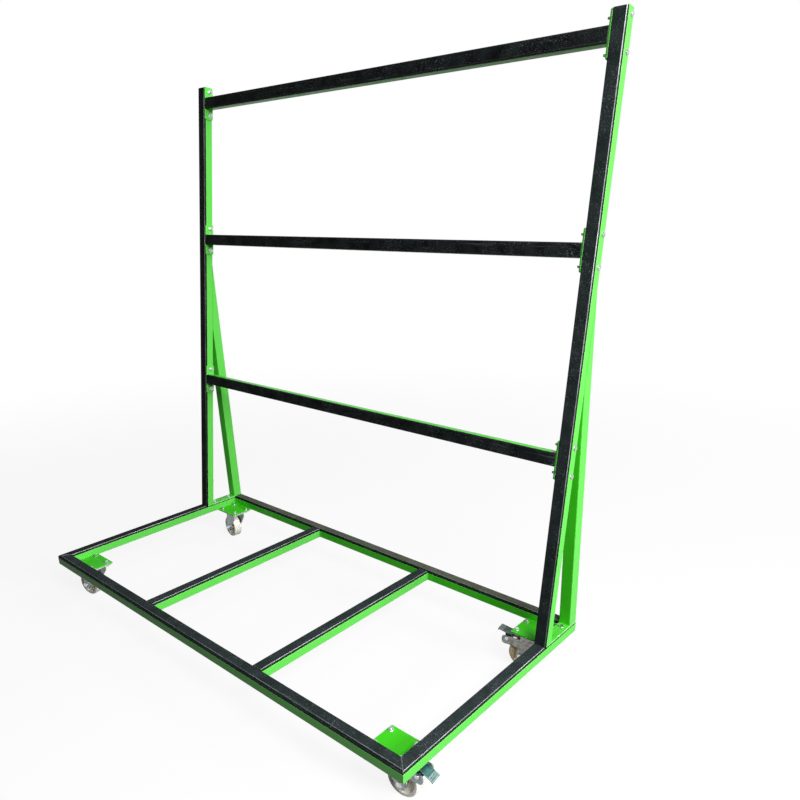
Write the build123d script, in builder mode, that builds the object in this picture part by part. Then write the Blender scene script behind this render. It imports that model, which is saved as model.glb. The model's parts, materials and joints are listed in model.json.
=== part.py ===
from build123d import *
import os
from math import atan2, cos, hypot, radians, sin

# Window frame cart: a tube base on four swivel casters, with two posts that
# lean backwards, three cross rails between them and a brace behind each post.
# Millimetres, +Z up, +X to the right and +Y to the back, floor at Z = 0.
# The origin is on the floor, below the middle of the whole cart.

# Base frame of rectangular tube
BASE_LENGTH = 1800.0
BASE_DEPTH = 866.0
TUBE_WIDE = 40.0
TUBE_NARROW = 30.0
TUBE_WALL = 2.0
TUBE_RADIUS = 3.0

# Edge strips that the window frames stand on and lean against
STRIP_THICK = 8.0
STRIP_BEVEL = 2.5

# Posts, braces and cross rails
POST_SETBACK = 196.0
POST_LEAN = 6.84
POST_LENGTH = 1744.0
CAP_THICK = 3.0
CAP_BEVEL = 1.0
BRACE_LEAN = 1.7
MIDDLE_RAIL_AT = 1168.0
LOWER_RAIL_AT = 585.0
END_PLATE_LENGTH = 116.0
END_PLATE_THICK = 5.0
END_PLATE_RADIUS = 6.0
END_BOLT_SPACING = 85.0

# Plates on the base
CORNER_PLATE_LENGTH = 120.0
CORNER_PLATE_WIDTH = 100.0
CORNER_PLATE_THICK = 5.0
CORNER_PLATE_RADIUS = 4.0
FOOT_BOLT_INSET = 20.0

# Hexagon bolts of the frame
BOLT_DIAMETER = 8.0
BOLT_HEX = 13.0
BOLT_HEAD = 5.3
BOLT_NUT = 6.5
BOLT_END = 2.5
RAIL_BOLT_END = 9.5
HOLE_CLEARANCE = 0.25
THREAD_CLEARANCE = 0.05

# Swivel casters
CASTER_HEIGHT = 136.0
CASTER_PLATE_LENGTH = 115.0
CASTER_PLATE_WIDTH = 90.0
CASTER_PLATE_THICK = 4.0
CASTER_PLATE_RADIUS = 8.0
CASTER_PITCH_LONG = 90.0
CASTER_PITCH_SHORT = 64.0
RACE_RADIUS = 30.0
RACE_DEPTH = 6.0
RACE_NARROWING = 6.0
RACE_CLEARANCE = 0.3
DISH_LIP = 3.0
DISH_GAP = 2.0
DISH_FLOOR = 3.7
KINGPIN_DIAMETER = 12.0
KINGPIN_HEAD_DIAMETER = 22.0
KINGPIN_HEAD = 5.0
RUNNING_CLEARANCE = 0.05

# Forks
TRAIL = 30.0
FORK_THICK = 4.0
CROWN_THICK = 4.0
CROWN_LENGTH = 66.0
CROWN_SKIRT = 18.0
CROWN_BEND = 5.0
FORK_BOSS_RADIUS = 17.0
WHEEL_SIDE_CLEARANCE = 6.0

# Wheels
WHEEL_DIAMETER = 95.0
WHEEL_WIDTH = 34.0
WHEEL_EDGE = 3.0
RIM_DEPTH = 11.0
WEB_THICK = 12.0
WEB_RING_RADIUS = 24.0
WEB_RING_WIDTH = 3.0
WEB_RING_RISE = 2.5
HUB_RADIUS = 14.0
HUB_CLEARANCE = 0.3
AXLE_DIAMETER = 10.0
AXLE_HEX = 17.0
AXLE_HEAD = 6.4
AXLE_NUT = 8.0
AXLE_END = 2.5
SLEEVE_WALL = 1.0

# Brake of the right-hand casters
LUG_DROP = 30.0
LUG_HEIGHT = 29.0
LUG_REACH = 22.0
LUG_RADIUS = 9.0
PIVOT_BACK = 17.0
PIVOT_DROP = 9.0
PIVOT_DIAMETER = 8.0
PIVOT_HEAD_RADIUS = 6.5
PIVOT_HEAD = 2.5
PEDAL_TRAVEL = 38.0
PEDAL_RAISED = 10.0
PEDAL_ROOT = 12.0
PEDAL_REACH = 40.0
PEDAL_WIDTH = 34.0
PEDAL_THICK = 3.0
PEDAL_LIFT = 13.0
PEDAL_LIP = 9.0
PEDAL_CORNER = 3.0
PEDAL_RIB_COUNT = 4
PEDAL_RIB_PITCH = 6.0
PEDAL_RIB_WIDTH = 2.0
PEDAL_RIB_RISE = 1.0
CHEEK_THICK = 4.0
CHEEK_CLEARANCE = 6.0
CHEEK_RADIUS = 8.0
SHOE_RADIUS = 4.0
SHOE_GAP = 0.6

# Direction in which each caster trails, in degrees from +X
FRONT_LEFT_TRAILS = -168.0
FRONT_RIGHT_TRAILS = 6.0
REAR_LEFT_TRAILS = 172.0
REAR_RIGHT_TRAILS = -172.0

# Heights above the floor
TUBE_BOTTOM = CASTER_HEIGHT
TUBE_TOP = TUBE_BOTTOM + TUBE_NARROW
DECK = TUBE_TOP + STRIP_THICK

# Where the caster axes stand from the outer faces of the base
SWIVEL_X = TUBE_WIDE + CORNER_PLATE_LENGTH - CASTER_PLATE_LENGTH / 2
SWIVEL_Y = TUBE_WIDE + CORNER_PLATE_WIDTH / 2

# Extent of the whole cart, which sets where the base lies about the origin
POST_FRONT = BASE_DEPTH - POST_SETBACK
BACK_DEPTH = STRIP_THICK + TUBE_NARROW
TIP_ANGLE = radians(abs(FRONT_RIGHT_TRAILS))
PRESSED = radians(PEDAL_TRAVEL - PEDAL_RAISED)
PIVOT_X = TRAIL + WHEEL_DIAMETER / 2 + LUG_REACH - PIVOT_BACK
PEDAL_RUN = (PEDAL_REACH - PEDAL_CORNER) * cos(PRESSED) + (PEDAL_LIFT + PEDAL_THICK) * sin(PRESSED)
PEDAL_TIP = (
    (PIVOT_X + PEDAL_RUN) * cos(TIP_ANGLE)
    + (PEDAL_WIDTH / 2 - PEDAL_CORNER) * sin(TIP_ANGLE)
    + PEDAL_CORNER * hypot(cos(PRESSED) * cos(TIP_ANGLE), sin(TIP_ANGLE))
)
RIGHT_EXTENT = BASE_LENGTH + max(BOLT_HEAD, PEDAL_TIP - SWIVEL_X)
REAR_EXTENT = (
    POST_FRONT
    + (POST_LENGTH + CAP_THICK - CAP_BEVEL) * sin(radians(POST_LEAN))
    + BACK_DEPTH * cos(radians(POST_LEAN))
)
X_LEFT = (BOLT_HEAD - RIGHT_EXTENT) / 2
X_RIGHT = X_LEFT + BASE_LENGTH
X_MID = (X_LEFT + X_RIGHT) / 2
Y_FRONT = -max(REAR_EXTENT, BASE_DEPTH) / 2
Y_REAR = Y_FRONT + BASE_DEPTH
Y_POST = Y_FRONT + POST_FRONT

# Caster measures, counted down from the mounting face
AXLE_DROP = CASTER_HEIGHT - WHEEL_DIAMETER / 2
RACE_FOOT = CASTER_PLATE_THICK + RACE_DEPTH
DISH_TOP = RACE_FOOT + RACE_CLEARANCE
CROWN_TOP = DISH_TOP + DISH_FLOOR
CROWN_BOTTOM = CROWN_TOP + CROWN_THICK
DISH_RADIUS = RACE_RADIUS + DISH_LIP + RACE_CLEARANCE
KINGPIN_BORE = KINGPIN_DIAMETER / 2 + RUNNING_CLEARANCE
FORK_GAP = WHEEL_WIDTH + 2 * WHEEL_SIDE_CLEARANCE
FORK_WIDTH = FORK_GAP + 2 * FORK_THICK
SLEEVE_RADIUS = AXLE_DIAMETER / 2 + THREAD_CLEARANCE + SLEEVE_WALL
LUG_END = PIVOT_X + PIVOT_BACK
PIVOT_AT = (PIVOT_X, -LUG_DROP - PIVOT_DROP)

# Planes of the leaning back: local x to the right, y up the slope, z out of the strips
LEAN_SIN = sin(radians(POST_LEAN))
LEAN_COS = cos(radians(POST_LEAN))
BACK = Plane(origin=(X_MID, Y_POST, DECK), x_dir=(1, 0, 0), z_dir=(0, -LEAN_COS, LEAN_SIN))
BACK_AXIS = Axis((0, 0, 0), BACK.y_dir)
INTO_BACK = Axis((0, 0, 0), BACK.z_dir)
DECK_PLANE = Plane.XY.offset(DECK)
MIDDLE = Plane(origin=(X_MID, 0, 0), x_dir=(0, 1, 0), z_dir=(1, 0, 0))

TOP_RAIL_AT = POST_LENGTH - END_PLATE_LENGTH / 2
RAIL_STATIONS = {"top": TOP_RAIL_AT, "middle": MIDDLE_RAIL_AT, "lower": LOWER_RAIL_AT}
BOLT_STATIONS = [
    (at + side * END_BOLT_SPACING / 2, 0) for at in RAIL_STATIONS.values() for side in (-1, 1)
]
POST_X = BASE_LENGTH / 2 - TUBE_WIDE / 2
POST_INNER = BASE_LENGTH / 2 - TUBE_WIDE
RAIL_HALF = POST_INNER - END_PLATE_THICK

# Crossbars leave three equal gaps in the base
CROSSBAR_X = (BASE_LENGTH - 2 * TUBE_WIDE + TUBE_WIDE) / 6

# Brace, square to its own axis
BRACE_SIN = sin(radians(BRACE_LEAN))
BRACE_COS = cos(radians(BRACE_LEAN))
BRACE_FOOT = Y_REAR - TUBE_WIDE / 2 / BRACE_COS
BRACE_FRONT = Y_REAR - TUBE_WIDE / BRACE_COS
POST_REAR = Y_POST + BACK_DEPTH / LEAN_COS
FOOT_BOLTS = [POST_REAR + FOOT_BOLT_INSET, BRACE_FRONT - FOOT_BOLT_INSET]

HOLE_RADIUS = BOLT_DIAMETER / 2 + HOLE_CLEARANCE
NUT_BORE = BOLT_DIAMETER / 2 + THREAD_CLEARANCE

os.makedirs("parts", exist_ok=True)


def keep(piece, label):
    piece.label = label
    export_step(piece, f"parts/{label}.step")


def tube_section(width, depth):
    RectangleRounded(width, depth, TUBE_RADIUS)
    RectangleRounded(
        width - 2 * TUBE_WALL,
        depth - 2 * TUBE_WALL,
        TUBE_RADIUS - TUBE_WALL,
        mode=Mode.SUBTRACT,
    )


def back_side(x, facing):
    """Plane across the back at x from its middle, local x up the slope, in the depth of the tubes."""
    origin = BACK.from_local_coords((x, 0, -STRIP_THICK - TUBE_NARROW / 2))
    return Plane(origin=origin, x_dir=BACK.y_dir, z_dir=(facing, 0, 0))


# Base rails: each starts at an outer corner, with local x along the rail and y inwards
BASE_CORNERS = {
    "front_rail": (Plane((X_LEFT, Y_FRONT, TUBE_BOTTOM), x_dir=(1, 0, 0)), BASE_LENGTH),
    "right_side_rail": (Plane((X_RIGHT, Y_FRONT, TUBE_BOTTOM), x_dir=(0, 1, 0)), BASE_DEPTH),
    "rear_rail": (Plane((X_RIGHT, Y_REAR, TUBE_BOTTOM), x_dir=(-1, 0, 0)), BASE_LENGTH),
    "left_side_rail": (Plane((X_LEFT, Y_REAR, TUBE_BOTTOM), x_dir=(0, -1, 0)), BASE_DEPTH),
}
for label, (corner, length) in BASE_CORNERS.items():
    across = Plane(corner.origin, x_dir=corner.y_dir, z_dir=corner.x_dir)
    far_corner = corner.from_local_coords((length, 0, 0))
    with BuildPart() as rail:
        with BuildSketch(across):
            with Locations((TUBE_WIDE / 2, TUBE_NARROW / 2)):
                tube_section(TUBE_WIDE, TUBE_NARROW)
        extrude(amount=length)
        split(bisect_by=Plane(corner.origin, z_dir=corner.x_dir - corner.y_dir))
        split(bisect_by=Plane(far_corner, z_dir=-corner.x_dir - corner.y_dir))
        if "side" in label:
            side_x = X_LEFT + TUBE_WIDE / 2 if "left" in label else X_RIGHT - TUBE_WIDE / 2
            with BuildSketch(Plane.XY.offset(TUBE_TOP)):
                with Locations(*[(side_x, y) for y in FOOT_BOLTS]):
                    Circle(HOLE_RADIUS)
            extrude(amount=-TUBE_NARROW, mode=Mode.SUBTRACT)
    keep(rail.part, label)

# Crossbars
for label, side in (("left_crossbar", -1), ("right_crossbar", 1)):
    with BuildPart() as crossbar:
        with BuildSketch(Plane((X_MID, Y_FRONT + TUBE_WIDE, TUBE_BOTTOM), (1, 0, 0), (0, 1, 0))):
            with Locations((side * CROSSBAR_X, -TUBE_NARROW / 2)):
                tube_section(TUBE_WIDE, TUBE_NARROW)
        extrude(amount=BASE_DEPTH - 2 * TUBE_WIDE)
    keep(crossbar.part, label)

# Deck strips: the front one is mitred with the side ones, the others have square ends
with BuildPart() as front_strip:
    with BuildSketch(Plane((X_LEFT, Y_FRONT, TUBE_TOP))):
        Trapezoid(BASE_LENGTH, TUBE_WIDE, 45, align=(Align.MIN, Align.MIN))
    extrude(amount=STRIP_THICK)
    chamfer(front_strip.edges().filter_by(Axis.X).group_by(Axis.Z)[-1], STRIP_BEVEL)
keep(front_strip.part, "front_strip")

with BuildPart() as rear_strip:
    with BuildSketch(Plane((X_MID, Y_REAR, TUBE_TOP))):
        Rectangle(BASE_LENGTH - 2 * TUBE_WIDE, TUBE_WIDE, align=(Align.CENTER, Align.MAX))
    extrude(amount=STRIP_THICK)
    chamfer(rear_strip.edges().filter_by(Axis.X).group_by(Axis.Z)[-1], STRIP_BEVEL)
keep(rear_strip.part, "rear_strip")

with BuildPart() as right_side_strip:
    with BuildSketch(Plane((X_RIGHT, Y_FRONT, TUBE_TOP), x_dir=(0, 1, 0))):
        Trapezoid(POST_FRONT, TUBE_WIDE, 45, 90, align=(Align.MIN, Align.MIN))
    extrude(amount=STRIP_THICK)
    chamfer(right_side_strip.edges().filter_by(Axis.Y).group_by(Axis.Z)[-1], STRIP_BEVEL)
keep(right_side_strip.part, "right_side_strip")

with BuildPart() as left_side_strip:
    mirror(right_side_strip.part, about=MIDDLE)
keep(left_side_strip.part, "left_side_strip")

for label, side in (("left_crossbar_strip", -1), ("right_crossbar_strip", 1)):
    with BuildPart() as crossbar_strip:
        with BuildSketch(Plane((X_MID + side * CROSSBAR_X, Y_FRONT + TUBE_WIDE, TUBE_TOP))):
            Rectangle(TUBE_WIDE, BASE_DEPTH - 2 * TUBE_WIDE, align=(Align.CENTER, Align.MIN))
        extrude(amount=STRIP_THICK)
        chamfer(crossbar_strip.edges().filter_by(Axis.Y).group_by(Axis.Z)[-1], STRIP_BEVEL)
    keep(crossbar_strip.part, label)

# Foot plates under post and brace, level with the deck strips
with BuildPart() as right_foot_plate:
    with BuildSketch(Plane((X_RIGHT, Y_POST, TUBE_TOP))):
        Rectangle(TUBE_WIDE, Y_REAR - Y_POST, align=(Align.MAX, Align.MIN))
        with Locations(*[(-TUBE_WIDE / 2, y - Y_POST) for y in FOOT_BOLTS]):
            Circle(HOLE_RADIUS, mode=Mode.SUBTRACT)
    extrude(amount=STRIP_THICK)
keep(right_foot_plate.part, "right_foot_plate")

with BuildPart() as left_foot_plate:
    mirror(right_foot_plate.part, about=MIDDLE)
keep(left_foot_plate.part, "left_foot_plate")

# Posts: tube down to the foot plate, drilled for the bolts of the rail ends
POST_TOP = Plane(
    BACK.from_local_coords((POST_X, POST_LENGTH, -STRIP_THICK - TUBE_NARROW / 2)),
    x_dir=(1, 0, 0),
    z_dir=BACK.y_dir,
)
with BuildPart() as right_post:
    with BuildSketch(POST_TOP):
        tube_section(TUBE_WIDE, TUBE_NARROW)
    extrude(amount=-POST_LENGTH - BACK_DEPTH)
    split(bisect_by=DECK_PLANE)
    with BuildSketch(back_side(POST_INNER, 1)):
        with Locations(*BOLT_STATIONS):
            Circle(HOLE_RADIUS)
    extrude(amount=TUBE_WIDE, mode=Mode.SUBTRACT)
keep(right_post.part, "right_post")

with BuildPart() as left_post:
    mirror(right_post.part, about=MIDDLE)
keep(left_post.part, "left_post")

with BuildPart() as right_post_strip:
    with BuildSketch(BACK):
        with Locations((POST_X, POST_LENGTH)):
            Rectangle(TUBE_WIDE, POST_LENGTH + BACK_DEPTH, align=(Align.CENTER, Align.MAX))
    extrude(amount=-STRIP_THICK)
    chamfer(right_post_strip.edges().filter_by(BACK_AXIS).group_by(INTO_BACK)[-1], STRIP_BEVEL)
    split(bisect_by=DECK_PLANE)
keep(right_post_strip.part, "right_post_strip")

with BuildPart() as left_post_strip:
    mirror(right_post_strip.part, about=MIDDLE)
keep(left_post_strip.part, "left_post_strip")

with BuildPart() as post_caps:
    with BuildSketch(POST_TOP):
        RectangleRounded(TUBE_WIDE, TUBE_NARROW, TUBE_RADIUS)
    extrude(amount=CAP_THICK)
    chamfer(post_caps.faces().sort_by(BACK_AXIS)[-1].edges(), CAP_BEVEL)
    mirror(about=MIDDLE)
keep(post_caps.part, "post_caps")

# Braces: from the back of the foot plate up to the rear face of the post
BRACE_PLANE = Plane(
    (X_RIGHT - TUBE_WIDE / 2, BRACE_FOOT, DECK), x_dir=(1, 0, 0), z_dir=(0, -BRACE_SIN, BRACE_COS)
)
POST_REAR_PLANE = Plane(BACK.from_local_coords((0, 0, -BACK_DEPTH)), z_dir=-BACK.z_dir)
with BuildPart() as right_brace:
    with BuildSketch(BRACE_PLANE.offset(-TUBE_WIDE)):
        tube_section(TUBE_WIDE, TUBE_WIDE)
    extrude(amount=POST_LENGTH)
    split(bisect_by=DECK_PLANE)
    split(bisect_by=POST_REAR_PLANE)
keep(right_brace.part, "right_brace")

with BuildPart() as left_brace:
    mirror(right_brace.part, about=MIDDLE)
keep(left_brace.part, "left_brace")

# Cross rails with their strips and end plates
for name, at in RAIL_STATIONS.items():
    with BuildPart() as cross_rail:
        with BuildSketch(back_side(-RAIL_HALF, 1)):
            with Locations((at, 0)):
                tube_section(TUBE_WIDE, TUBE_NARROW)
        extrude(amount=2 * RAIL_HALF)
    keep(cross_rail.part, f"{name}_rail")

    with BuildPart() as rail_strip:
        with BuildSketch(BACK):
            with Locations((0, at)):
                Rectangle(2 * RAIL_HALF, TUBE_WIDE)
        extrude(amount=-STRIP_THICK)
        chamfer(rail_strip.edges().filter_by(Axis.X).group_by(INTO_BACK)[-1], STRIP_BEVEL)
    keep(rail_strip.part, f"{name}_rail_strip")

    with BuildPart() as end_plates:
        with BuildSketch(back_side(RAIL_HALF, 1)):
            with Locations((at, STRIP_THICK / 2)):
                RectangleRounded(END_PLATE_LENGTH, BACK_DEPTH, END_PLATE_RADIUS)
            with Locations((at - END_BOLT_SPACING / 2, 0), (at + END_BOLT_SPACING / 2, 0)):
                Circle(HOLE_RADIUS, mode=Mode.SUBTRACT)
        extrude(amount=END_PLATE_THICK)
        mirror(about=MIDDLE)
    keep(end_plates.part, f"{name}_rail_end_plates")

# Bolts through the posts, heads outside and nuts on the end plates
with BuildPart() as rail_bolts:
    with BuildSketch(back_side(BASE_LENGTH / 2, 1), back_side(-BASE_LENGTH / 2, -1)):
        with Locations(*BOLT_STATIONS):
            RegularPolygon(BOLT_HEX / 2, 6, major_radius=False)
    extrude(amount=BOLT_HEAD)
    with BuildSketch(back_side(BASE_LENGTH / 2, 1), back_side(-BASE_LENGTH / 2, -1)):
        with Locations(*BOLT_STATIONS):
            Circle(BOLT_DIAMETER / 2)
    extrude(amount=-TUBE_WIDE - END_PLATE_THICK - BOLT_NUT - RAIL_BOLT_END)
keep(rail_bolts.part, "rail_bolts")

with BuildPart() as rail_nuts:
    with BuildSketch(back_side(RAIL_HALF, -1), back_side(-RAIL_HALF, 1)):
        with Locations(*BOLT_STATIONS):
            RegularPolygon(BOLT_HEX / 2, 6, major_radius=False)
            Circle(NUT_BORE, mode=Mode.SUBTRACT)
    extrude(amount=BOLT_NUT)
keep(rail_nuts.part, "rail_nuts")

# Bolts down through the foot plates and side rails
FOOT_BOLT_AXES = [(side * POST_X, y) for side in (-1, 1) for y in FOOT_BOLTS]
with BuildPart() as foot_bolts:
    with BuildSketch(Plane((X_MID, 0, DECK))):
        with Locations(*FOOT_BOLT_AXES):
            RegularPolygon(BOLT_HEX / 2, 6, major_radius=False)
    extrude(amount=BOLT_HEAD)
    with BuildSketch(Plane((X_MID, 0, DECK))):
        with Locations(*FOOT_BOLT_AXES):
            Circle(BOLT_DIAMETER / 2)
    extrude(amount=-STRIP_THICK - TUBE_NARROW - BOLT_NUT - BOLT_END)
keep(foot_bolts.part, "foot_bolts")

with BuildPart() as foot_nuts:
    with BuildSketch(Plane((X_MID, 0, TUBE_BOTTOM))):
        with Locations(*FOOT_BOLT_AXES):
            RegularPolygon(BOLT_HEX / 2, 6, major_radius=False)
            Circle(NUT_BORE, mode=Mode.SUBTRACT)
    extrude(amount=-BOLT_NUT)
keep(foot_nuts.part, "foot_nuts")

# Corners of the base: side in x, side in y and heading of each caster
CORNERS = {
    "front_left": (-1, -1, FRONT_LEFT_TRAILS),
    "front_right": (1, -1, FRONT_RIGHT_TRAILS),
    "rear_left": (-1, 1, REAR_LEFT_TRAILS),
    "rear_right": (1, 1, REAR_RIGHT_TRAILS),
}

# Brakes, and how far each pedal is turned down from level: the front one is on, the rear one is off
BRAKED = {"front_right": PEDAL_TRAVEL - PEDAL_RAISED, "rear_right": -PEDAL_RAISED}
Y_BASE = (Y_FRONT + Y_REAR) / 2


def corner_mount(side_x, side_y):
    """Level plane at the mounting face of a caster, centred on its swivel axis."""
    x = X_MID + side_x * (BASE_LENGTH / 2 - SWIVEL_X)
    y = Y_BASE + side_y * (BASE_DEPTH / 2 - SWIVEL_Y)
    return Plane((x, y, TUBE_BOTTOM), x_dir=(1, 0, 0))


MOUNTS = [corner_mount(side_x, side_y) for side_x, side_y, _ in CORNERS.values()]

# Corner plates that fill the inside of each corner
for name, (side_x, side_y, _) in CORNERS.items():
    with BuildPart() as corner_plate:
        with BuildSketch(Plane((X_MID, Y_BASE, TUBE_BOTTOM))) as outline:
            with Locations((
                side_x * (BASE_LENGTH / 2 - TUBE_WIDE - CORNER_PLATE_LENGTH / 2),
                side_y * (BASE_DEPTH / 2 - TUBE_WIDE - CORNER_PLATE_WIDTH / 2),
            )):
                Rectangle(CORNER_PLATE_LENGTH, CORNER_PLATE_WIDTH)
            fillet(outline.vertices().sort_by_distance((0, 0, 0))[0], CORNER_PLATE_RADIUS)
            with Locations((side_x * (BASE_LENGTH / 2 - SWIVEL_X), side_y * (BASE_DEPTH / 2 - SWIVEL_Y))):
                with GridLocations(CASTER_PITCH_LONG, CASTER_PITCH_SHORT, 2, 2):
                    Circle(HOLE_RADIUS, mode=Mode.SUBTRACT)
        extrude(amount=CORNER_PLATE_THICK)
    keep(corner_plate.part, f"{name}_corner_plate")

# Bolts of the casters, heads below and nuts on the corner plates
with BuildPart() as caster_bolts:
    with BuildSketch(*[mount.offset(-CASTER_PLATE_THICK) for mount in MOUNTS]):
        with GridLocations(CASTER_PITCH_LONG, CASTER_PITCH_SHORT, 2, 2):
            RegularPolygon(BOLT_HEX / 2, 6, major_radius=False)
    extrude(amount=-BOLT_HEAD)
    with BuildSketch(*[mount.offset(-CASTER_PLATE_THICK) for mount in MOUNTS]):
        with GridLocations(CASTER_PITCH_LONG, CASTER_PITCH_SHORT, 2, 2):
            Circle(BOLT_DIAMETER / 2)
    extrude(amount=CASTER_PLATE_THICK + CORNER_PLATE_THICK + BOLT_NUT + BOLT_END)
keep(caster_bolts.part, "caster_bolts")

with BuildPart() as caster_nuts:
    with BuildSketch(*[mount.offset(CORNER_PLATE_THICK) for mount in MOUNTS]):
        with GridLocations(CASTER_PITCH_LONG, CASTER_PITCH_SHORT, 2, 2):
            RegularPolygon(BOLT_HEX / 2, 6, major_radius=False)
            Circle(NUT_BORE, mode=Mode.SUBTRACT)
    extrude(amount=BOLT_NUT)
keep(caster_nuts.part, "caster_nuts")

# Casters
for name, (side_x, side_y, heading) in CORNERS.items():
    mount = corner_mount(side_x, side_y)
    turned = mount.rotated((0, 0, heading))
    side = Plane(turned.origin, x_dir=turned.x_dir, z_dir=-turned.y_dir)
    swivel_axis = Axis(mount.origin, mount.z_dir)
    trail_axis = Axis(mount.origin, turned.x_dir)
    axle_centre = side.from_local_coords((TRAIL, -AXLE_DROP, 0))
    axle_axis = Axis(axle_centre, turned.y_dir)
    braked = name in BRAKED

    # Top plate with the upper race and the riveted kingpin
    with BuildPart() as caster_plate:
        with BuildSketch(mount):
            RectangleRounded(CASTER_PLATE_LENGTH, CASTER_PLATE_WIDTH, CASTER_PLATE_RADIUS)
            with GridLocations(CASTER_PITCH_LONG, CASTER_PITCH_SHORT, 2, 2):
                Circle(HOLE_RADIUS, mode=Mode.SUBTRACT)
        extrude(amount=-CASTER_PLATE_THICK)
        with BuildSketch(side):
            with BuildLine():
                Polyline(
                    (0, -CASTER_PLATE_THICK),
                    (RACE_RADIUS, -CASTER_PLATE_THICK),
                    (RACE_RADIUS - RACE_NARROWING, -RACE_FOOT),
                    (KINGPIN_DIAMETER / 2, -RACE_FOOT),
                    (KINGPIN_DIAMETER / 2, -CROWN_BOTTOM - RACE_CLEARANCE),
                    (KINGPIN_HEAD_DIAMETER / 2, -CROWN_BOTTOM - RACE_CLEARANCE),
                    (KINGPIN_HEAD_DIAMETER / 2, -CROWN_BOTTOM - RACE_CLEARANCE - KINGPIN_HEAD),
                    (0, -CROWN_BOTTOM - RACE_CLEARANCE - KINGPIN_HEAD),
                    close=True,
                )
            make_face()
        revolve(axis=swivel_axis)
    keep(caster_plate.part, f"{name}_caster_plate")

    # Fork: a bent channel with a turned dish on its crown
    with BuildPart() as fork:
        with BuildSketch(side):
            with Locations((0, -CROWN_TOP)):
                Rectangle(CROWN_LENGTH, CROWN_SKIRT, align=(Align.CENTER, Align.MAX))
            with Locations((TRAIL, -AXLE_DROP)):
                Circle(FORK_BOSS_RADIUS)
            make_hull()
            if braked:
                with Locations((LUG_END, -LUG_DROP)):
                    RectangleRounded(LUG_END, LUG_HEIGHT, LUG_RADIUS, align=(Align.MAX, Align.MAX))
        extrude(amount=FORK_WIDTH / 2, both=True)
        fillet(fork.edges().filter_by(trail_axis).group_by(Axis.Z)[-1], CROWN_BEND)
        with BuildSketch(turned.offset(-CROWN_BOTTOM)):
            Rectangle(4 * LUG_END, FORK_GAP)
        extrude(amount=-2 * AXLE_DROP, mode=Mode.SUBTRACT)
        with BuildSketch(side):
            with BuildLine():
                Polyline(
                    (0, -CROWN_TOP),
                    (DISH_RADIUS + DISH_LIP, -CROWN_TOP),
                    (DISH_RADIUS + DISH_LIP, -CASTER_PLATE_THICK - DISH_GAP),
                    (DISH_RADIUS, -CASTER_PLATE_THICK - DISH_GAP),
                    (DISH_RADIUS, -DISH_TOP),
                    (0, -DISH_TOP),
                    close=True,
                )
            make_face()
        revolve(axis=swivel_axis)
        with BuildSketch(mount.offset(-DISH_TOP)):
            Circle(KINGPIN_BORE)
        extrude(amount=-DISH_FLOOR - CROWN_THICK, mode=Mode.SUBTRACT)
        with BuildSketch(side):
            with Locations((TRAIL, -AXLE_DROP)):
                Circle(AXLE_DIAMETER / 2 + HOLE_CLEARANCE)
            if braked:
                with Locations(PIVOT_AT):
                    Circle(PIVOT_DIAMETER / 2 + RUNNING_CLEARANCE)
        extrude(amount=FORK_WIDTH / 2, both=True, mode=Mode.SUBTRACT)
    keep(fork.part, f"{name}_fork")

    # Axle: bolt, nut and the sleeve that the legs clamp
    with BuildPart() as axle:
        with BuildSketch(side.offset(FORK_WIDTH / 2)):
            with Locations((TRAIL, -AXLE_DROP)):
                RegularPolygon(AXLE_HEX / 2, 6, major_radius=False)
        extrude(amount=AXLE_HEAD)
        with BuildSketch(side.offset(FORK_WIDTH / 2)):
            with Locations((TRAIL, -AXLE_DROP)):
                Circle(AXLE_DIAMETER / 2)
        extrude(amount=-FORK_WIDTH - AXLE_NUT - AXLE_END)
        with BuildSketch(side.offset(-FORK_WIDTH / 2)):
            with Locations((TRAIL, -AXLE_DROP)):
                RegularPolygon(AXLE_HEX / 2, 6, major_radius=False)
                Circle(AXLE_DIAMETER / 2 + THREAD_CLEARANCE, mode=Mode.SUBTRACT)
        extrude(amount=-AXLE_NUT)
        with BuildSketch(side):
            with Locations((TRAIL, -AXLE_DROP)):
                Circle(SLEEVE_RADIUS)
                Circle(SLEEVE_RADIUS - SLEEVE_WALL, mode=Mode.SUBTRACT)
        extrude(amount=FORK_GAP / 2, both=True)
    keep(axle.part, f"{name}_axle")

    # Wheel: half of its section, mirrored about the middle and turned about the axle
    wheel_radius = WHEEL_DIAMETER / 2
    hub_half = FORK_GAP / 2 - HUB_CLEARANCE
    radial = Plane(axle_centre, x_dir=turned.y_dir, z_dir=turned.x_dir)
    with BuildPart() as wheel:
        with BuildSketch(radial):
            with BuildLine():
                Polyline(
                    (0, SLEEVE_RADIUS + RUNNING_CLEARANCE),
                    (hub_half, SLEEVE_RADIUS + RUNNING_CLEARANCE),
                    (hub_half, HUB_RADIUS),
                    (WEB_THICK / 2, HUB_RADIUS),
                    (WEB_THICK / 2, WEB_RING_RADIUS - WEB_RING_WIDTH),
                    (WEB_THICK / 2 + WEB_RING_RISE, WEB_RING_RADIUS - WEB_RING_WIDTH),
                    (WEB_THICK / 2 + WEB_RING_RISE, WEB_RING_RADIUS),
                    (WEB_THICK / 2, WEB_RING_RADIUS),
                    (WEB_THICK / 2, wheel_radius - RIM_DEPTH),
                    (WHEEL_WIDTH / 2, wheel_radius - RIM_DEPTH),
                    (WHEEL_WIDTH / 2, wheel_radius - WHEEL_EDGE),
                    (WHEEL_WIDTH / 2 - WHEEL_EDGE, wheel_radius),
                    (0, wheel_radius),
                    close=True,
                )
            make_face()
            mirror(about=Plane.YZ)
        revolve(axis=axle_axis)
    keep(wheel.part, f"{name}_wheel")

    if not braked:
        continue

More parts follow.
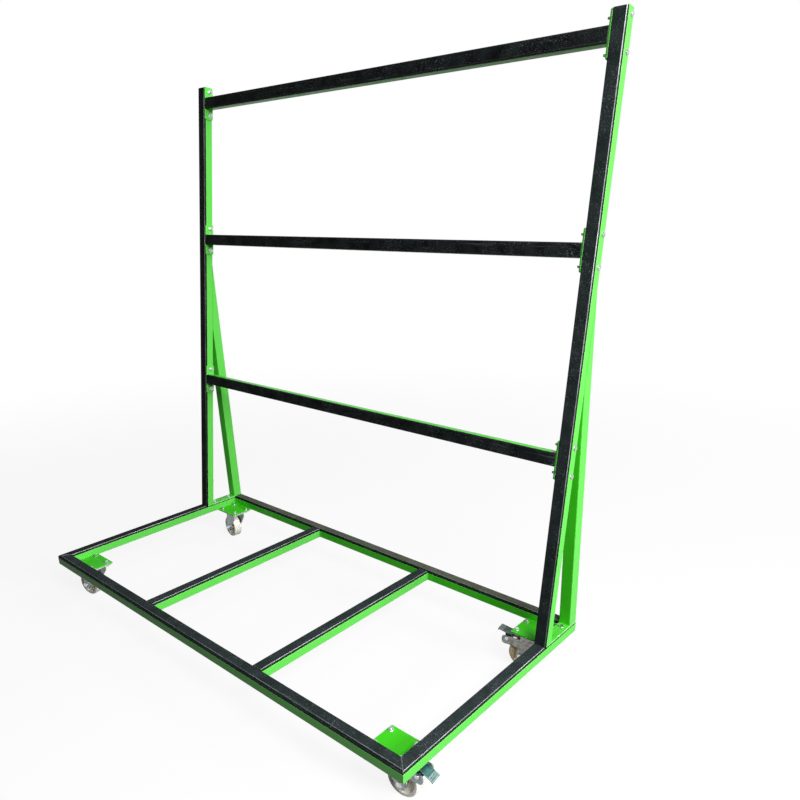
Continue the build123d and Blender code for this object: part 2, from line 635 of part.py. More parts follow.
    # Pin of the brake, riveted over outside the lugs of the fork
    with BuildPart() as brake_pin:
        with BuildSketch(side):
            with Locations(PIVOT_AT):
                Circle(PIVOT_DIAMETER / 2)
        extrude(amount=FORK_WIDTH / 2, both=True)
        with BuildSketch(side.offset(FORK_WIDTH / 2), side.offset(-FORK_WIDTH / 2 - PIVOT_HEAD)):
            with Locations(PIVOT_AT):
                Circle(PIVOT_HEAD_RADIUS)
        extrude(amount=PIVOT_HEAD)
    keep(brake_pin.part, f"{name}_brake_pin")

    # Brake pedal about its pin: foot plate with a bent lip, two cheeks and the shoe
    pivot_point = side.from_local_coords((*PIVOT_AT, 0))
    pressed = radians(BRAKED[name])
    pedal_dir = turned.x_dir * cos(pressed) - turned.z_dir * sin(pressed)
    upright = Plane(pivot_point, x_dir=pedal_dir, z_dir=side.z_dir)
    level = Plane(pivot_point, x_dir=upright.x_dir, z_dir=upright.y_dir)
    cheek_outer = FORK_GAP / 2 - CHEEK_CLEARANCE
    axle_run = TRAIL - PIVOT_AT[0]
    axle_fall = -AXLE_DROP - PIVOT_AT[1]
    shoe_reach = hypot(axle_run, axle_fall) - wheel_radius - SHOE_RADIUS - SHOE_GAP
    shoe_angle = atan2(axle_fall, axle_run) + PRESSED
    with BuildPart() as pedal:
        with BuildSketch(level.offset(PEDAL_LIFT)) as tread:
            with Locations((PEDAL_REACH, 0)):
                Rectangle(PEDAL_REACH + PEDAL_ROOT, PEDAL_WIDTH, align=(Align.MAX, Align.CENTER))
            fillet(tread.vertices().group_by(Axis.X)[-1], PEDAL_CORNER)
        extrude(amount=PEDAL_THICK)
        with BuildSketch(level.offset(PEDAL_LIFT)):
            with Locations((PEDAL_REACH, 0)):
                Rectangle(PEDAL_THICK, PEDAL_WIDTH - 2 * PEDAL_CORNER, align=(Align.MAX, Align.CENTER))
        extrude(amount=-PEDAL_LIP + PEDAL_THICK)
        with BuildSketch(level.offset(PEDAL_LIFT + PEDAL_THICK)):
            with Locations((PEDAL_REACH - PEDAL_CORNER - PEDAL_RIB_PITCH * PEDAL_RIB_COUNT / 2, 0)):
                with GridLocations(PEDAL_RIB_PITCH, 0, PEDAL_RIB_COUNT, 1):
                    Rectangle(PEDAL_RIB_WIDTH, PEDAL_WIDTH - 2 * PEDAL_CORNER)
        extrude(amount=PEDAL_RIB_RISE)
        with BuildSketch(upright.offset(cheek_outer - CHEEK_THICK), upright.offset(-cheek_outer)):
            with Locations((0, PEDAL_LIFT)):
                Rectangle(2 * PEDAL_ROOT, PEDAL_THICK / 2, align=(Align.CENTER, Align.MIN))
            Circle(CHEEK_RADIUS)
            make_hull()
        extrude(amount=CHEEK_THICK)
        with BuildSketch(upright):
            Circle(CHEEK_RADIUS)
            with Locations((shoe_reach * cos(shoe_angle), shoe_reach * sin(shoe_angle))):
                Circle(SHOE_RADIUS)
            make_hull()
        extrude(amount=cheek_outer - CHEEK_THICK / 2, both=True)
        with BuildSketch(upright):
            Circle(PIVOT_DIAMETER / 2 + RUNNING_CLEARANCE)
        extrude(amount=FORK_WIDTH, both=True, mode=Mode.SUBTRACT)
    keep(pedal.part, f"{name}_brake_pedal")
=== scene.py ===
"""Looks of the window frame cart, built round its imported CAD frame.

A green welded tube base rolls on four swivel casters. Two posts lean backwards on it, with
three bolted cross rails and a brace behind each post. Dark edge strips cover every face that
a window frame stands on or leans against.

Metres, +Z up, +X to the right and +Y to the back, floor at Z = 0.
"""

import json
import logging
import math
from abc import ABC, abstractmethod
from collections.abc import Callable, Iterable, Iterator, Sequence
from dataclasses import dataclass, field, replace
from enum import Enum

import bmesh
import bpy
from mathutils import Matrix, Vector


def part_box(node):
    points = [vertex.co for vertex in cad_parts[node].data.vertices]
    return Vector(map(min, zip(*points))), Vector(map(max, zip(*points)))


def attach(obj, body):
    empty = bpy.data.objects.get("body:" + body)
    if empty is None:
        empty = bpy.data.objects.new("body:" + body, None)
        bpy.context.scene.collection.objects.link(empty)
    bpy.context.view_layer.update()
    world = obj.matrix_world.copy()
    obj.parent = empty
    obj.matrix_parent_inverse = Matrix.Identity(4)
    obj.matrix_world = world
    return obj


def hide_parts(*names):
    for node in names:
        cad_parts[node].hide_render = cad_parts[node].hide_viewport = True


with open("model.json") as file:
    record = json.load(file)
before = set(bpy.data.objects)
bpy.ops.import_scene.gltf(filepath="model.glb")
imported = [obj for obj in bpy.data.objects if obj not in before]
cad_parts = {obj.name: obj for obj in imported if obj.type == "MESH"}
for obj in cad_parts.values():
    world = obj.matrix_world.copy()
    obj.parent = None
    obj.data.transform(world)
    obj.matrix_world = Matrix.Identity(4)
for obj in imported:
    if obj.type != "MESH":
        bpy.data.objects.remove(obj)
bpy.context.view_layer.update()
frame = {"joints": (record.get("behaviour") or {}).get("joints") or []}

# Short names of types
Pair = tuple[float, float]
Point = tuple[float, float, float]
Colour = tuple[float, float, float]
Seam = tuple[Vector, Vector]
Socket = bpy.types.NodeSocket
EdgeTest = Callable[[bmesh.types.BMEdge], bool]

LOG = logging.getLogger("window_frame_cart")
# Face attribute that marks edges for wear and for painted highlight lines
EDGE_MARK_LAYER = "worn_edge"
X = Vector((1, 0, 0))
Y = Vector((0, 1, 0))
Z = Vector((0, 0, 1))
QUARTER_TURN = math.radians(90)

# Angle above which shading breaks, and the degrees above which an edge is broken
SHARP_ANGLE = math.radians(38)
EDGE_DEGREES = 40.0

# Share of an axis in a direction that runs along it
PARALLEL = 0.999

# Distances under which two levels are one, two points are one, and a point lies on a saw cut
NEAR = 1e-5
DOUBLE = 1e-6
CUT_SLACK = 1e-7

# Crown of a hexagon: its radius as a share of the width across flats, its slope and its cuts
CROWN_SHARE = 0.47
CROWN_SLOPE = math.radians(30)
CROWN_CUTS = 24

# Ripples of a weld bead: length and first radius as shares of the bead's, waist as a share of the swell
RIPPLE_LENGTH = 0.9
RIPPLE_START = 0.72
RIPPLE_WAIST = 0.8


class Slot(Enum):
    """Material slots of the cart's record."""

    GREEN_PAINT = "green_paint"
    EDGE_STRIP = "edge_strip"
    ZINC_STEEL = "zinc_steel"
    PEDAL_ZINC = "pedal_zinc"
    WHEEL = "wheel"


class Run(Enum):
    """Direction that a strip runs in, as the stretch of its scratches."""

    ALONG_X = (0.02, 1.0, 1.0)
    ALONG_Y = (1.0, 0.02, 1.0)
    ALONG_Z = (1.0, 1.0, 0.02)


class Tone(Enum):
    """Painted light of an edge strip, as lit and shaded copies of one plastic, with dust on the rear one:
    colour of its sides and of its broad face.
    """

    FRESH = ((0.005, 0.007, 0.007), (0.005, 0.006, 0.006))
    LEANED_ON = ((0.006, 0.008, 0.007), (0.014, 0.020, 0.020))
    STOOD_ON = ((0.006, 0.010, 0.009), (0.022, 0.031, 0.032))
    FRONT = ((0.009, 0.013, 0.013), (0.018, 0.026, 0.026))
    SHELTERED = ((0.005, 0.008, 0.007), (0.005, 0.006, 0.007))
    DUSTY = ((0.006, 0.010, 0.008), (0.105, 0.115, 0.085))


class Facing(Enum):
    """Ways that a surface looks: an axis, and the shares of it where an effect starts and is full."""

    RIGHT = ("X", 0.5, 0.95)
    FRONT = ("Y", -0.5, -0.95)
    UP = ("Z", 0.2, 0.95)
    BROAD_FRONT = ("Y", -0.80, -0.98)
    BROAD_TOP = ("Z", 0.88, 0.99)


class Side(Enum):
    """Sides of the cart, as the sign of x."""

    LEFT = -1
    RIGHT = 1

    @property
    def label(self) -> str:
        """The side's name as its CAD nodes begin."""
        return self.name.lower()


class Corner(Enum):
    """Corners of the base: side to the right, side to the back, and whether the caster has a brake."""

    FRONT_LEFT = (-1, -1, False)
    FRONT_RIGHT = (1, -1, True)
    REAR_LEFT = (-1, 1, False)
    REAR_RIGHT = (1, 1, True)

    def __init__(self, side_x: int, side_y: int, braked: bool) -> None:
        """Keeps the parts of the value by name.

        Args:
            side_x: Sign of x at the corner.
            side_y: Sign of y at the corner.
            braked: Whether the caster has a brake.
        """
        self.side_x = side_x
        self.side_y = side_y
        self.braked = braked

    @property
    def label(self) -> str:
        """The corner's name as its CAD nodes begin."""
        return self.name.lower()

    def near(self, low: Vector, high: Vector) -> Pair:
        """The x and y of the two sides of a box that lie towards the corner."""
        return (high if self.side_x > 0 else low).x, (high if self.side_y > 0 else low).y

    def far(self, low: Vector, high: Vector) -> Pair:
        """The x and y of the two sides of a box that lie away from the corner."""
        return self.near(high, low)


@dataclass(frozen=True)
class Pattern:
    """A noise pattern: blobs in a metre, octaves, the span of its values that counts, what that gives."""

    scale: float
    detail: float = 4.0
    span: Pair = (0.3, 0.7)
    out: Pair = (0.0, 1.0)


@dataclass(frozen=True)
class Grain:
    """A fine relief: blobs in a metre, octaves, depth in metres and the share that shows."""

    scale: float
    detail: float
    depth: float
    strength: float


class Nodes:
    """A node tree, with short calls to place and join its nodes."""

    def __init__(self, tree: bpy.types.NodeTree) -> None:
        """Takes the tree to work on."""
        self.tree = tree

    def add(self, kind: str, **settings: object) -> bpy.types.Node:
        """Places a node.

        Args:
            kind: Type name of the node.
            settings: Properties of the node to set.

        Returns:
            The new node.
        """
        node = self.tree.nodes.new(kind)
        for key, value in settings.items():
            setattr(node, key, value)
        return node

    def join(self, source: Socket, target: Socket) -> None:
        """Links an output to an input."""
        self.tree.links.new(source, target)

    def combine(self, operation: str, first: Socket, second: Socket) -> Socket:
        """Works out one value from two.

        Args:
            operation: Name of the operation.
            first: First value.
            second: Second value.

        Returns:
            The new value.
        """
        node = self.add("ShaderNodeMath", operation=operation)
        self.join(first, node.inputs[0])
        self.join(second, node.inputs[1])
        return node.outputs["Value"]

    def product(self, first: Socket, second: Socket) -> Socket:
        """Multiplies two values."""
        return self.combine("MULTIPLY", first, second)

    def spread(self, source: Socket, span: Pair, out: Pair = (0.0, 1.0), easing: str = "LINEAR") -> Socket:
        """Spreads a part of a value's range over another range, clamped at both ends.

        Args:
            source: The value.
            span: Values that give the first and the second output value.
            out: First and second output value.
            easing: Name of the interpolation between them.

        Returns:
            The new value.
        """
        node = self.add("ShaderNodeMapRange", interpolation_type=easing)
        for name, value in zip(("From Min", "From Max", "To Min", "To Max"), (*span, *out)):
            node.inputs[name].default_value = value
        self.join(source, node.inputs["Value"])
        return node.outputs["Result"]


class Palette(Nodes):
    """Node tree of one finish, which mixes patterns on the object's own coordinates."""

    def __init__(self, name: str) -> None:
        """Starts a material with a shader.

        Args:
            name: Name of the material.
        """
        self.material = bpy.data.materials.new(name)
        self.material.use_nodes = True
        super().__init__(self.material.node_tree)
        self.tree.nodes.clear()
        self.shader = self.add("ShaderNodeBsdfPrincipled")
        output = self.add("ShaderNodeOutputMaterial")
        self.join(self.shader.outputs["BSDF"], output.inputs["Surface"])
        self.place = self.add("ShaderNodeTexCoord").outputs["Object"]

    def noise(self, scale: float, detail: float, stretch: Point = (1.0, 1.0, 1.0)) -> Socket:
        """Places noise.

        Args:
            scale: Number of blobs in a metre.
            detail: Octaves of finer blobs.
            stretch: Scale along each axis, below one for noise drawn out that way.

        Returns:
            The noise's value.
        """
        mapping = self.add("ShaderNodeMapping")
        mapping.inputs["Scale"].default_value = stretch
        self.join(self.place, mapping.inputs["Vector"])
        node = self.add("ShaderNodeTexNoise")
        node.inputs["Scale"].default_value = scale
        node.inputs["Detail"].default_value = detail
        self.join(mapping.outputs["Vector"], node.inputs["Vector"])
        return node.outputs["Fac"]

    def patch(self, pattern: Pattern, run: Run | None = None) -> Socket:
        """Places a noise pattern.

        Args:
            pattern: The pattern.
            run: Direction that it is drawn out in, or None for an even one.

        Returns:
            The pattern's value.
        """
        stretch = (run.value,) if run else ()
        return self.spread(self.noise(pattern.scale, pattern.detail, *stretch), pattern.span, pattern.out)

    def blend(self, amount: Socket, first: Socket | Colour, second: Socket | Colour) -> Socket:
        """Blends a colour, or a pattern of colours, towards another.

        Args:
            amount: How far to blend, from 0 to 1.
            first: Colour at 0.
            second: Colour at 1.

        Returns:
            The blended colour.
        """
        node = self.add("ShaderNodeMix", data_type="RGBA")
        self.join(amount, node.inputs["Factor"])
        for socket, colour in ((node.inputs[6], first), (node.inputs[7], second)):
            if isinstance(colour, Socket):
                self.join(colour, socket)
            else:
                socket.default_value = (*colour, 1.0)
        return node.outputs[2]

    def relief(self, height: Socket, depth: float, strength: float) -> None:
        """Gives the surface a relief on top of any that it has.

        Args:
            height: Pattern of heights.
            depth: Depth of the relief in metres.
            strength: Share of the relief that shows.
        """
        node = self.add("ShaderNodeBump")
        node.inputs["Strength"].default_value = strength
        node.inputs["Distance"].default_value = depth
        self.join(height, node.inputs["Height"])
        target = self.shader.inputs["Normal"]
        if target.is_linked:
            self.join(target.links[0].from_socket, node.inputs["Normal"])
        self.join(node.outputs["Normal"], target)

    def grain(self, grain: Grain) -> None:
        """Gives the surface a fine relief."""
        self.relief(self.noise(grain.scale, grain.detail), grain.depth, grain.strength)

    def worn(self, pattern: Pattern) -> Socket:
        """The piece's own mark of edges, for wear and for painted highlight lines, from 0 to 1, broken up
        by a pattern.
        """
        mark = self.add("ShaderNodeAttribute", attribute_name=EDGE_MARK_LAYER).outputs["Fac"]
        return self.product(mark, self.patch(pattern))

    def part(self, vector: Socket, axis: str) -> Socket:
        """The part of a vector along an axis.

        Args:
            vector: The vector.
            axis: Name of the axis.

        Returns:
            The part's value.
        """
        parts = self.add("ShaderNodeSeparateXYZ")
        self.join(vector, parts.inputs["Vector"])
        return parts.outputs[axis]

    def facing(self, way: Facing) -> Socket:
        """How far the surface looks one way, from 0 to 1.

        Args:
            way: The way.

        Returns:
            The share.
        """
        axis, *span = way.value
        normal = self.add("ShaderNodeNewGeometry").outputs["Normal"]
        return self.spread(self.part(normal, axis), span)

    def set(self, **values: float | Point) -> None:
        """Sets constant shader inputs, named with underscores for spaces."""
        for key, value in values.items():
            self.shader.inputs[key.replace("_", " ")].default_value = value

    def feed(self, socket: str, value: Socket) -> None:
        """Links a pattern to an input of the shader."""
        self.join(value, self.shader.inputs[socket])


@dataclass(frozen=True)
class Finish(ABC):
    """A finish of the cart: a record slot and the node material that shows it."""

    name: str
    slot: Slot

    def material(self) -> bpy.types.Material:
        """Makes the finish's material at its first use.

        Returns:
            The material.
        """
        known = bpy.data.materials.get(self.name)
        if known:
            return known
        made = Palette(self.name)
        self.mix(made)
        return made.material

    @abstractmethod
    def mix(self, made: Palette) -> None:
        """Feeds the shader of a new palette."""


@dataclass(frozen=True)
class PowderCoat(Finish):
    """Glossy green powder coat with a painted highlight on faces to the right, dusty on top, with orange
    peel and marked edges paler for wear and painted highlight lines.
    """

    name: str = "green_powder_coat"
    slot: Slot = Slot.GREEN_PAINT
    shade: Colour = (0.044, 0.55, 0.012)
    light: Colour = (0.066, 0.65, 0.020)
    dust: Colour = (0.16, 0.42, 0.11)
    # Painted highlight: a paler colour on faces to the right, where the key light falls
    bleached: Colour = (0.108, 0.55, 0.074)
    # Colour of marked edges: paint worn through, with a painted highlight line
    rubbed: Colour = (0.22, 0.70, 0.16)
    specular: float = 0.06
    mottling: Pattern = Pattern(5.0, 3.0, (0.35, 0.65))
    dusting: Pattern = Pattern(38.0, 6.0, (0.50, 0.80), (0.0, 0.14))
    rubbing: Pattern = Pattern(70.0, 4.0, (0.42, 0.62), (0.15, 0.75))
    sheen: Pattern = Pattern(24.0, 4.0, (0.3, 0.7), (0.24, 0.38))
    peel: Grain = Grain(420.0, 2.0, 0.0004, 0.16)

    def tone(self, made: Palette) -> Socket:
        """The paint's colour under dust and wear, with a painted highlight on faces to the right."""
        tone = made.blend(made.patch(self.mottling), self.shade, self.light)
        # Painted highlight on faces to the right
        return made.blend(made.facing(Facing.RIGHT), tone, self.bleached)

    def mix(self, made: Palette) -> None:
        """Feeds the shader of a new palette.

        Args:
            made: The palette.
        """
        dusty = made.product(made.patch(self.dusting), made.facing(Facing.UP))
        tone = made.blend(dusty, self.tone(made), self.dust)
        made.feed("Base Color", made.blend(made.worn(self.rubbing), tone, self.rubbed))
        made.feed("Roughness", made.patch(self.sheen))
        made.set(Specular_IOR_Level=self.specular)
        made.grain(self.peel)


@dataclass(frozen=True)
class DulledCoat(PowderCoat):
    """Green coat with a painted shading colour on faces to the front, which painted shade darkens to the
    left.
    """

    name: str = "green_dulled_coat"
    # Painted shading of faces to the front, and painted shade of the light's falloff to the left over a
    # span of x
    dulled: Colour = (0.21, 0.68, 0.17)
    grimy: Colour = (0.045, 0.27, 0.04)
    grimy_span: Pair = (0.8, -0.9)
    specular: float = 0.04

    def tone(self, made: Palette) -> Socket:
        """Mixes the paint's colour under dust and wear, with painted shading on faces to the front that
        darkens to the left.

        Args:
            made: The palette.

        Returns:
            The colour.
        """
        # Painted shade: darker to the left, where the light falls off
        grime = made.spread(made.part(made.place, "X"), self.grimy_span)
        front = made.blend(grime, self.dulled, self.grimy)
        return made.blend(made.facing(Facing.FRONT), super().tone(made), front)


@dataclass(frozen=True)
class StripPlastic(Finish):
    """Blue-black edge strip with a fine grain, pale specks and lengthwise scratches, its sides in painted
    shade and its marked bevels scuffed, with a painted highlight.
    """

    slot: Slot = Slot.EDGE_STRIP
    run: Run = Run.ALONG_X
    tone: Tone = Tone.STOOD_ON
    upright: bool = False
    speck: Colour = (0.15, 0.17, 0.18)
    # Colour of marked bevels: scuffs with a painted highlight
    scuff: Colour = (0.66, 0.70, 0.70)
    specular: float = 0.008
    fading: Pattern = Pattern(16.0, 6.0, (0.32, 0.68), (0.7, 1.0))
    clouding: Pattern = Pattern(22.0, 6.0, (0.35, 0.75), (0.0, 0.10))
    specks: Pattern = Pattern(330.0, 3.0, (0.58, 0.70))
    speckled: Pattern = Pattern(9.0, 4.0, (0.36, 0.66))
    scratching: Pattern = Pattern(260.0, 2.0, (0.68, 0.74), (0.0, 0.35))
    rubbing: Pattern = Pattern(6.0, 2.0, (0.40, 0.60), (0.5, 1.0))
    scuffing: Pattern = Pattern(75.0, 5.0, (0.30, 0.62), (0.6, 1.0))
    sheen: Pattern = Pattern(60.0, 5.0, (0.3, 0.7), (0.36, 0.54))
    # Painted highlight on upright strips, stronger higher up: heights where it grows, and its shares there
    rubbed_span: Pair = (0.35, 1.3)
    rubbed_share: Pair = (0.2, 1.0)
    leather: Grain = Grain(900.0, 2.0, 0.0003, 0.22)
    scratch_depth: float = -0.0002
    scratch_strength: float = 0.3

    @classmethod
    def of(cls, run: Run, tone: Tone = Tone.STOOD_ON, upright: bool = False) -> "StripPlastic":
        """The finish of a strip that runs one way, its broad face upwards or, if upright, forwards."""
        words = ("edge_strip", tone.name.lower(), "upright" if upright else "level", run.name.lower())
        return cls(name="_".join(words), run=run, tone=tone, upright=upright)

    def mix(self, made: Palette) -> None:
        """Feeds the shader of a new palette.

        Args:
            made: The palette.
        """
        broad = made.facing(Facing.BROAD_FRONT if self.upright else Facing.BROAD_TOP)
        # Broad face in the tone's paler colour, faded; sides and bevels in its darker colour as painted
        # shade
        tone = made.blend(made.product(broad, made.patch(self.fading)), *self.tone.value)
        scratches = made.patch(self.scratching, self.run)
        clouds = made.product(made.patch(self.clouding), broad)
        specks = made.product(made.patch(self.specks), made.patch(self.speckled))
        for marks in (clouds, specks, scratches):
            tone = made.blend(marks, tone, self.speck)
        # Marked bevels: scuffs with a painted highlight, on upright strips stronger higher up
        edges = made.product(made.worn(self.rubbing), made.patch(self.scuffing))
        if self.upright:
            height = made.part(made.place, "Z")
            edges = made.product(edges, made.spread(height, self.rubbed_span, self.rubbed_share))
        made.feed("Base Color", made.blend(edges, tone, self.scuff))
        made.feed("Roughness", made.patch(self.sheen))
        made.set(Specular_IOR_Level=self.specular)
        made.grain(self.leather)
        made.relief(scratches, self.scratch_depth, self.scratch_strength)


@dataclass(frozen=True)
class ZincPlate(Finish):
    """Zinc plate on steel: a metal with soft cloudy patches and dull dirt in places."""

    name: str = "bright_zinc"
    slot: Slot = Slot.ZINC_STEEL
    bright: Colour = (0.66, 0.68, 0.68)
    cloudy: Colour = (0.44, 0.46, 0.46)
    dirt: Colour = (0.16, 0.14, 0.11)
    rubbed: Colour = (0.70, 0.72, 0.71)
    dirty: float = 0.25
    gloss: Pair = (0.22, 0.42)
    clouding: Pattern = Pattern(90.0, 5.0)
    grime: Pattern = Pattern(150.0, 6.0, (0.52, 0.78))
    rubbing: Pattern = Pattern(200.0, 4.0, (0.3, 0.6), (0.2, 0.7))
    sheen: Pattern = Pattern(220.0)
    grime_span: Pair = (0.0, 0.6)
    metal_share: Pair = (1.0, 0.55)
    spangle: Grain = Grain(800.0, 3.0, 0.0002, 0.15)

    def mix(self, made: Palette) -> None:
        """Feeds the shader of a new palette.

        Args:
            made: The palette.
        """
        grime = made.patch(replace(self.grime, out=(0.0, self.dirty)))
        tone = made.blend(made.patch(self.clouding), self.bright, self.cloudy)
        tone = made.blend(grime, tone, self.dirt)
        made.feed("Base Color", made.blend(made.worn(self.rubbing), tone, self.rubbed))
        made.feed("Roughness", made.patch(replace(self.sheen, out=self.gloss)))
        made.feed("Metallic", made.spread(grime, self.grime_span, self.metal_share))
        made.grain(self.spangle)


@dataclass(frozen=True)
class IvoryNylon(Finish):
    """Ivory wheel plastic, yellowed in patches, with floor dirt in its scuffs."""

    name: str = "ivory_nylon"
    slot: Slot = Slot.WHEEL
    fresh: Colour = (0.96, 0.94, 0.87)
    yellowed: Colour = (0.93, 0.88, 0.74)
    dirt: Colour = (0.46, 0.39, 0.28)
    dirty: float = 0.06
    glow: float = 0.15
    glow_depth: float = 0.006
    glow_tint: Colour = (1.0, 0.95, 0.8)
    yellowing: Pattern = Pattern(45.0, 5.0, (0.35, 0.7))
    grime: Pattern = Pattern(120.0, 7.0, (0.56, 0.82))
    scuffing: Pattern = Pattern(160.0, 4.0, (0.4, 0.6), (0.0, 0.12))
    sheen: Pattern = Pattern(90.0, 4.0, (0.3, 0.7), (0.34, 0.52))
    skin: Grain = Grain(500.0, 3.0, 0.0002, 0.2)

    def mix(self, made: Palette) -> None:
        """Feeds the shader of a new palette.

        Args:
            made: The palette.
        """
        tone = made.blend(made.patch(self.yellowing), self.fresh, self.yellowed)
        tone = made.blend(made.patch(replace(self.grime, out=(0.0, self.dirty))), tone, self.dirt)
        made.feed("Base Color", made.blend(made.worn(self.scuffing), tone, self.dirt))
        made.feed("Roughness", made.patch(self.sheen))
        made.set(Subsurface_Weight=self.glow, Subsurface_Scale=self.glow_depth)
        made.set(Subsurface_Radius=self.glow_tint)
        made.grain(self.skin)


# Finishes of the cart
GREEN_COAT = PowderCoat()
FRONT_COAT = DulledCoat()
# Plate coat: a paler copy of the green as painted glare, near-white marked rims as a painted highlight,
# and painted shade on faces to the front
PLATE_COAT = DulledCoat(
    name="green_plate_coat",
    shade=(0.07, 0.56, 0.035),
    light=(0.11, 0.65, 0.06),
    rubbed=(0.80, 0.88, 0.78),
    dulled=(0.04, 0.22, 0.025),
    grimy=(0.04, 0.18, 0.025),
)
BRIGHT_ZINC = ZincPlate()
DULL_ZINC = ZincPlate(
    name="dull_zinc",
    bright=(0.33, 0.36, 0.37),
    cloudy=(0.18, 0.205, 0.21),
    dirty=0.45,
    gloss=(0.35, 0.6),
)
# Darker zinc for the rear-right caster: dirt, with painted shade of its corner under the base
AGED_SHADED_ZINC = ZincPlate(
    name="aged_zinc",
    bright=(0.34, 0.34, 0.31),
    cloudy=(0.16, 0.16, 0.145),
    dirt=(0.05, 0.045, 0.035),
    dirty=0.7,
    gloss=(0.4, 0.65),
)
# Pedal zinc: pale at marked edges and over the pedal's outer part and lip, a painted highlight
BLUE_ZINC = ZincPlate(
    name="blue_zinc",
    slot=Slot.PEDAL_ZINC,
    bright=(0.075, 0.21, 0.19),
    cloudy=(0.02, 0.085, 0.08),
    dirt=(0.03, 0.035, 0.03),
    rubbed=(0.34, 0.42, 0.41),
    dirty=0.5,
    gloss=(0.32, 0.50),
)
# Darker pedal zinc for the rear-right caster: dirt, with painted shade
DULL_SHADED_BLUE_ZINC = replace(
    BLUE_ZINC,
    name="dull_blue_zinc",
    bright=(0.12, 0.145, 0.14),
    cloudy=(0.045, 0.06, 0.06),
    dirt=(0.03, 0.03, 0.028),
    rubbed=(0.24, 0.26, 0.25),
)
IVORY = IvoryNylon()
# Tan nylon for the rear-right wheel: yellowing and dirt, with painted shade
TAN_SHADED_NYLON = IvoryNylon(name="tan_nylon", fresh=(0.84, 0.72, 0.48), yellowed=(0.66, 0.52, 0.32), dirty=0.5)


def linked(name: str, data: bpy.types.ID) -> bpy.types.Object:
    """Puts an object into the scene.

    Args:
        name: Name of the object.
        data: Its mesh, light or camera.

    Returns:
        The object.
    """
    made = bpy.data.objects.new(name, data)
    bpy.context.scene.collection.objects.link(made)
    return made


def along(axis: Vector, where: Callable[[Vector], bool] = lambda middle: True) -> EdgeTest:
    """Makes a test for edges that run along an axis.

    Args:
        axis: The direction.
        where: Test of an edge's middle point.

    Returns:
        The test of an edge.
    """

    def test(edge: bmesh.types.BMEdge) -> bool:
        """Tells whether an edge runs along the axis and lies where it should."""
        first, second = (vert.co for vert in edge.verts)
        return abs((second - first).normalized().dot(axis)) > PARALLEL and where((first + second) / 2)

    return test


def sharper_than(degrees: float = EDGE_DEGREES) -> EdgeTest:
    """Makes a test for edges where two faces meet at more than an angle."""
    return lambda edge: edge.is_manifold and edge.calc_face_angle() > math.radians(degrees)


def mitre_point(low: Vector, high: Vector, way: Vector, outward: Vector) -> Vector:
    """Finds the outer corner of a length where the saw cut of a mitre starts.

    Args:
        low: Lowest corner of the length.
        high: Highest corner of the length.
        way: Direction that it runs in.
        outward: Direction out of the mitred end, square to the cut.

    Returns:
        The corner.
    """
    turned = outward - 2 * outward.dot(way) * way
    return Vector([low[i] if turned[i] > 0 else high[i] for i in range(3)])


def both_ends(profile: Sequence[Pair]) -> list[Pair]:
    """The upper half of a turned profile followed by its mirror image below."""
    return [*profile, *((radius, -height) for radius, height in reversed(profile))]


